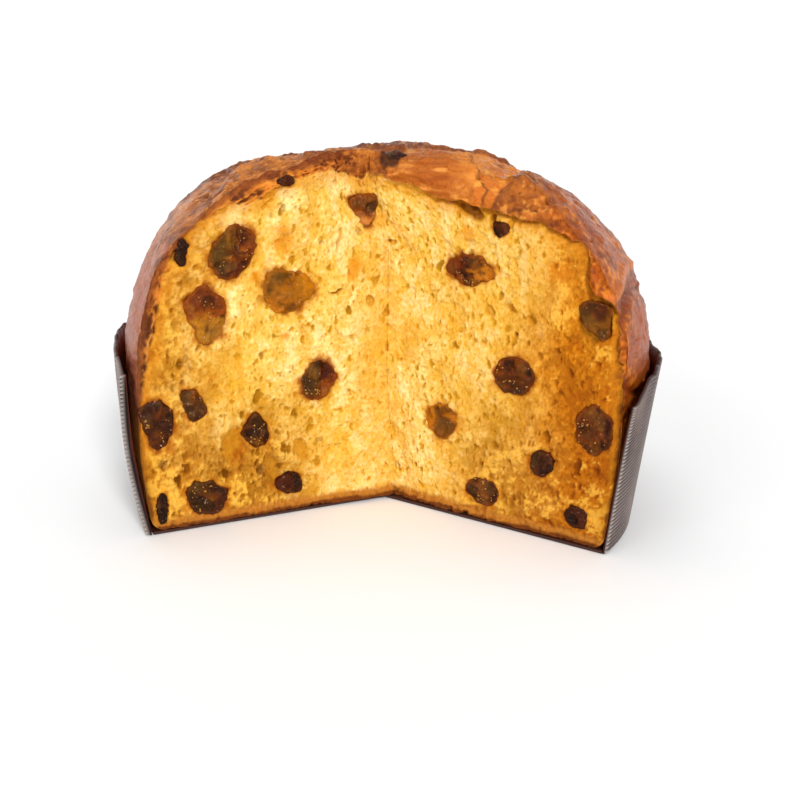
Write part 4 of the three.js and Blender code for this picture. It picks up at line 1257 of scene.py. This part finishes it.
def painted(name, roughness, grain_mm, grain, bump_mm, bump, glazed=None, pits_mm=None, glints=None,
            **sockets):
    """A material coloured by tint, made lighter and darker by a grain of the given size, with a bump.
    glazed is its roughness where the attribute of that name is 1. pits_mm adds small golden pores about that
    far apart, where the distance to the nearest of many scattered points is small, darkened as painted shade.
    glints is the share of a pale colour of painted highlights in small crooked spots that come in groups."""
    material, tree, shader = new_material(name)
    colour = node(tree, "ShaderNodeAttribute", {"attribute_name": "tint"}).outputs["Color"]
    place = node(tree, "ShaderNodeTexCoord").outputs["Object"]
    speckle = node(tree, "ShaderNodeTexNoise", Vector=place, Scale=1 / (grain_mm * MM), Detail=3.0,
                   Roughness=0.6).outputs["Fac"]
    shade = node(tree, "ShaderNodeMapRange", Value=speckle, From_Min=0.3, From_Max=0.7,
                 To_Min=1 - grain, To_Max=1 + grain).outputs["Result"]
    height = node(tree, "ShaderNodeTexNoise", Vector=place, Scale=1 / (bump_mm * MM), Detail=4.0,
                  Roughness=0.6).outputs["Fac"]
    colour = node(tree, "ShaderNodeVectorMath", {"operation": "SCALE"}, Vector=colour,
                  Scale=shade).outputs["Vector"]
    # Small pores: darker and more golden as painted shade, and sunk by the bump
    if pits_mm is not None:
        stir = node(tree, "ShaderNodeTexNoise", Vector=place, Scale=1 / (2 * pits_mm * MM), Detail=2.0)
        tall = node(tree, "ShaderNodeVectorMath", {"operation": "MULTIPLY"}, {0: place, 1: (1, 1, 0.6)})
        bent = node(tree, "ShaderNodeVectorMath", {"operation": "MULTIPLY_ADD"},
                    {0: stir.outputs["Color"], 1: [1.6 * pits_mm * MM] * 3, 2: tall.outputs["Vector"]})
        sponge = node(tree, "ShaderNodeTexVoronoi", Vector=bent.outputs["Vector"], Scale=1 / (pits_mm * MM))
        pit = node(tree, "ShaderNodeMapRange", Value=sponge.outputs["Distance"], From_Min=0.12, From_Max=0.42,
                   To_Min=1.0, To_Max=0.0).outputs["Result"]
        height = node(tree, "ShaderNodeMath", {"operation": "SUBTRACT"}, {0: height, 1: pit}).outputs["Value"]
        golden = node(tree, "ShaderNodeVectorMath", {"operation": "MULTIPLY"}, {0: colour, 1: PIT_SHADE})
        colour = node(tree, "ShaderNodeMix", {"data_type": "VECTOR"},
                      {MIX_SHARE: pit, VECTOR_A: colour,
                       VECTOR_B: golden.outputs["Vector"]}).outputs[VECTOR_OUT]
    # Glints: painted highlights in small pale spots that come in groups
    if glints is not None:
        spots = node(tree, "ShaderNodeTexNoise", Vector=place, Scale=1 / (GLINT_MM * MM), Detail=2.0)
        groups = node(tree, "ShaderNodeTexNoise", Vector=place, Scale=1 / (5 * GLINT_MM * MM), Detail=1.0)
        near = node(tree, "ShaderNodeMapRange", Value=spots.outputs["Fac"], From_Min=0.66, From_Max=0.74,
                    To_Min=0.0, To_Max=glints)
        grouped = node(tree, "ShaderNodeMapRange", Value=groups.outputs["Fac"], From_Min=0.46, From_Max=0.58)
        share_of_glint = node(tree, "ShaderNodeMath", {"operation": "MULTIPLY"},
                              {0: near.outputs["Result"], 1: grouped.outputs["Result"]})
        colour = node(tree, "ShaderNodeMix", {"data_type": "RGBA"},
                      {MIX_SHARE: share_of_glint.outputs["Value"], COLOUR_A: colour,
                       COLOUR_B: (*linear(GLINT_COLOUR), 1)}).outputs[COLOUR_OUT]
    bumped = node(tree, "ShaderNodeBump", Height=height, Strength=1.0, Distance=bump * MM)
    tree.links.new(colour, shader.inputs["Base Color"])
    tree.links.new(bumped.outputs["Normal"], shader.inputs["Normal"])
    shader.inputs["Roughness"].default_value = roughness
    if glazed is not None:
        amount = node(tree, "ShaderNodeAttribute", {"attribute_name": "glazed"}).outputs["Fac"]
        shine = node(tree, "ShaderNodeMapRange", Value=amount, To_Min=roughness, To_Max=glazed)
        tree.links.new(shine.outputs["Result"], shader.inputs["Roughness"])
    for key, value in sockets.items():
        shader.inputs[key.replace("_", " ")].default_value = value
    return material


# Baked crumb: matt and soft, light goes a millimetre into it and comes out warm. Its crusted rim shines.
crumb_finish = painted("baked_crumb", 0.85, 1.1, 0.09, 0.6, 0.09, glazed=0.4, pits_mm=1.4,
                       Subsurface_Weight=0.3, Subsurface_Radius=(1.3, 0.8, 0.35), Subsurface_Scale=MM,
                       Specular_IOR_Level=0.12)
# Baked crust: dense and dry, with the low shine of browned sugar and butter
crust_finish = painted("baked_crust", 0.3, 0.8, 0.3, 0.75, 0.65, Specular_IOR_Level=0.36,
                       Specular_Tint=(1.0, 0.72, 0.55, 1), Coat_Weight=0.06, Coat_Roughness=0.2)
# Dried fig: sticky skin and seedy flesh, wet looking where it was cut
fig_finish = painted("dried_fig", 0.22, 1.4, 0.25, 1.8, 0.9, glints=0.8, Subsurface_Weight=0.08,
                     Subsurface_Radius=(1.5, 0.5, 0.2), Subsurface_Scale=MM, Specular_IOR_Level=0.26,
                     Specular_Tint=(1.0, 0.6, 0.35, 1))
# Candied peel: soaked in syrup, so it is glossy, and light glows through it
peel_finish = painted("candied_peel", 0.14, 2.0, 0.12, 3.0, 0.8, glints=0.6, Subsurface_Weight=0.35,
                      Subsurface_Radius=(2.5, 1.0, 0.25), Subsurface_Scale=MM, Specular_IOR_Level=0.28,
                      Specular_Tint=(1.0, 0.6, 0.35, 1))
# Raisin: thin dark wrinkled skin with a dull shine
raisin_finish = painted("raisin_skin", 0.28, 0.9, 0.3, 1.4, 0.9, glints=0.4, Specular_IOR_Level=0.22,
                        Specular_Tint=(1.0, 0.7, 0.5, 1))
# Waxed brown baking paper, pressed into ribs: a little shine on the crests
paper_finish = painted("waxed_baking_paper", 0.45, 0.6, 0.15, 0.5, 0.08, Specular_IOR_Level=0.2)


def plain(name, colour, roughness):
    """A material of one colour."""
    material, _, shader = new_material(name)
    shader.inputs["Base Color"].default_value = (*linear(colour), 1)
    shader.inputs["Roughness"].default_value = roughness
    return material


# Fig seed: a hard pale shell with a sharp light on it
seed_finish = plain("fig_seed", "#B07A26", 0.35)
# Base paper: the case's own brown, flat and dull, without the wall's painted highlights on crests
base_finish = plain("base_paper", "#3A1608", 0.6)


# %% Dress each piece and let it ride
def dress(piece, material, slot, *replaced):
    """Gives a piece its material and body, and hides the frame nodes that it stands for. Its slot is not
    used.
    """
    piece.data.materials.clear()
    piece.data.materials.append(material)
    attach(piece, "root")
    if replaced:
        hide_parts(*replaced)


dress(crust_piece, crust_finish, "bread", "bread")
for side, piece in crumb_pieces.items():
    dress(piece, crumb_finish, "bread", "bread")
FRUIT_FINISH = {"fig": (fig_finish, "fig"), "amber_peel": (peel_finish, "candied_peel"),
                "peel": (peel_finish, "candied_peel"), "raisin": (raisin_finish, "raisin")}
for name, piece in fruit_pieces.items():
    finish, slot = of_kind(FRUIT_FINISH, name)
    dress(piece, finish, slot, name)
dress(seeds_piece, seed_finish, "fig")
dress(wall_piece, paper_finish, "paper_case", "paper_wall")
base_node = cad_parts["paper_base"]
base_node.data.materials.clear()
base_node.data.materials.append(base_finish)

# %% [markdown]
# ## Floor and light
# A photographer's white bowl: a pale floor that curves up into a low wall all round, so there is no
# horizon. Its section is a line, a quarter circle and a line, turned round the bread's axis. Three wide
# suns and a soft sky light it evenly: the strongest from the front, above the camera's right shoulder, a
# weak one from the front left, and one from overhead.

# %% Floor and light
BOWL_RADIUS, BOWL_BEND, BOWL_HEIGHT, BOWL_SIDES = 3.2, 1.0, 1.3, 96
bend = np.linspace(0, np.pi / 2, 24)
flat_part = np.linspace(0.05, BOWL_RADIUS - BOWL_BEND, 20)[:-1]
wall_part = np.linspace(BOWL_BEND, BOWL_HEIGHT, 4)[1:]
bowl_radius = np.concatenate([flat_part, BOWL_RADIUS - BOWL_BEND + BOWL_BEND * np.sin(bend),
                              np.full(wall_part.shape, BOWL_RADIUS)])
bowl_z = np.concatenate([0 * flat_part, BOWL_BEND * (1 - np.cos(bend)), wall_part]) - 0.0003
around = np.arange(BOWL_SIDES) * 2 * np.pi / BOWL_SIDES
bowl = np.stack([bowl_radius[:, None] * np.cos(around), bowl_radius[:, None] * np.sin(around),
                 bowl_z[:, None] + 0 * around], -1)
bowl_faces = [np.arange(BOWL_SIDES), *grid_faces(len(bowl_z), BOWL_SIDES, 0, wrap=True)[:, ::-1]]
floor = make_mesh("floor", bowl.reshape(-1, 3) / MM, bowl_faces)
floor_finish, _, floor_shader = new_material("white_board")
floor_shader.inputs["Base Color"].default_value = (0.9, 0.9, 0.9, 1)
floor_shader.inputs["Roughness"].default_value = 0.9
floor_shader.inputs["Specular IOR Level"].default_value = 0.1
floor.data.materials.append(floor_finish)

world = bpy.data.worlds.new("sky")
world.use_nodes = True
world.node_tree.nodes["Background"].inputs["Color"].default_value = (1, 1, 1, 1)
world.node_tree.nodes["Background"].inputs["Strength"].default_value = 0.4
bpy.context.scene.world = world
bpy.context.scene.view_settings.view_transform = "Standard"


def soft_sun(name, come_from, degrees, power):
    """A sun that shines from a direction and is some degrees wide in the sky."""
    data = bpy.data.lights.new(name, "SUN")
    data.angle, data.energy = np.radians(degrees), power
    lamp = bpy.data.objects.new(name, data)
    bpy.context.scene.collection.objects.link(lamp)
    lamp.rotation_euler = Vector(come_from).to_track_quat("Z", "Y").to_euler()


soft_sun("key", (0.25, -0.8, 0.55), 12, 2.1)
soft_sun("fill", (-0.55, -0.65, 0.45), 30, 0.7)
soft_sun("top", (-0.1, 0.15, 1.0), 50, 0.8)
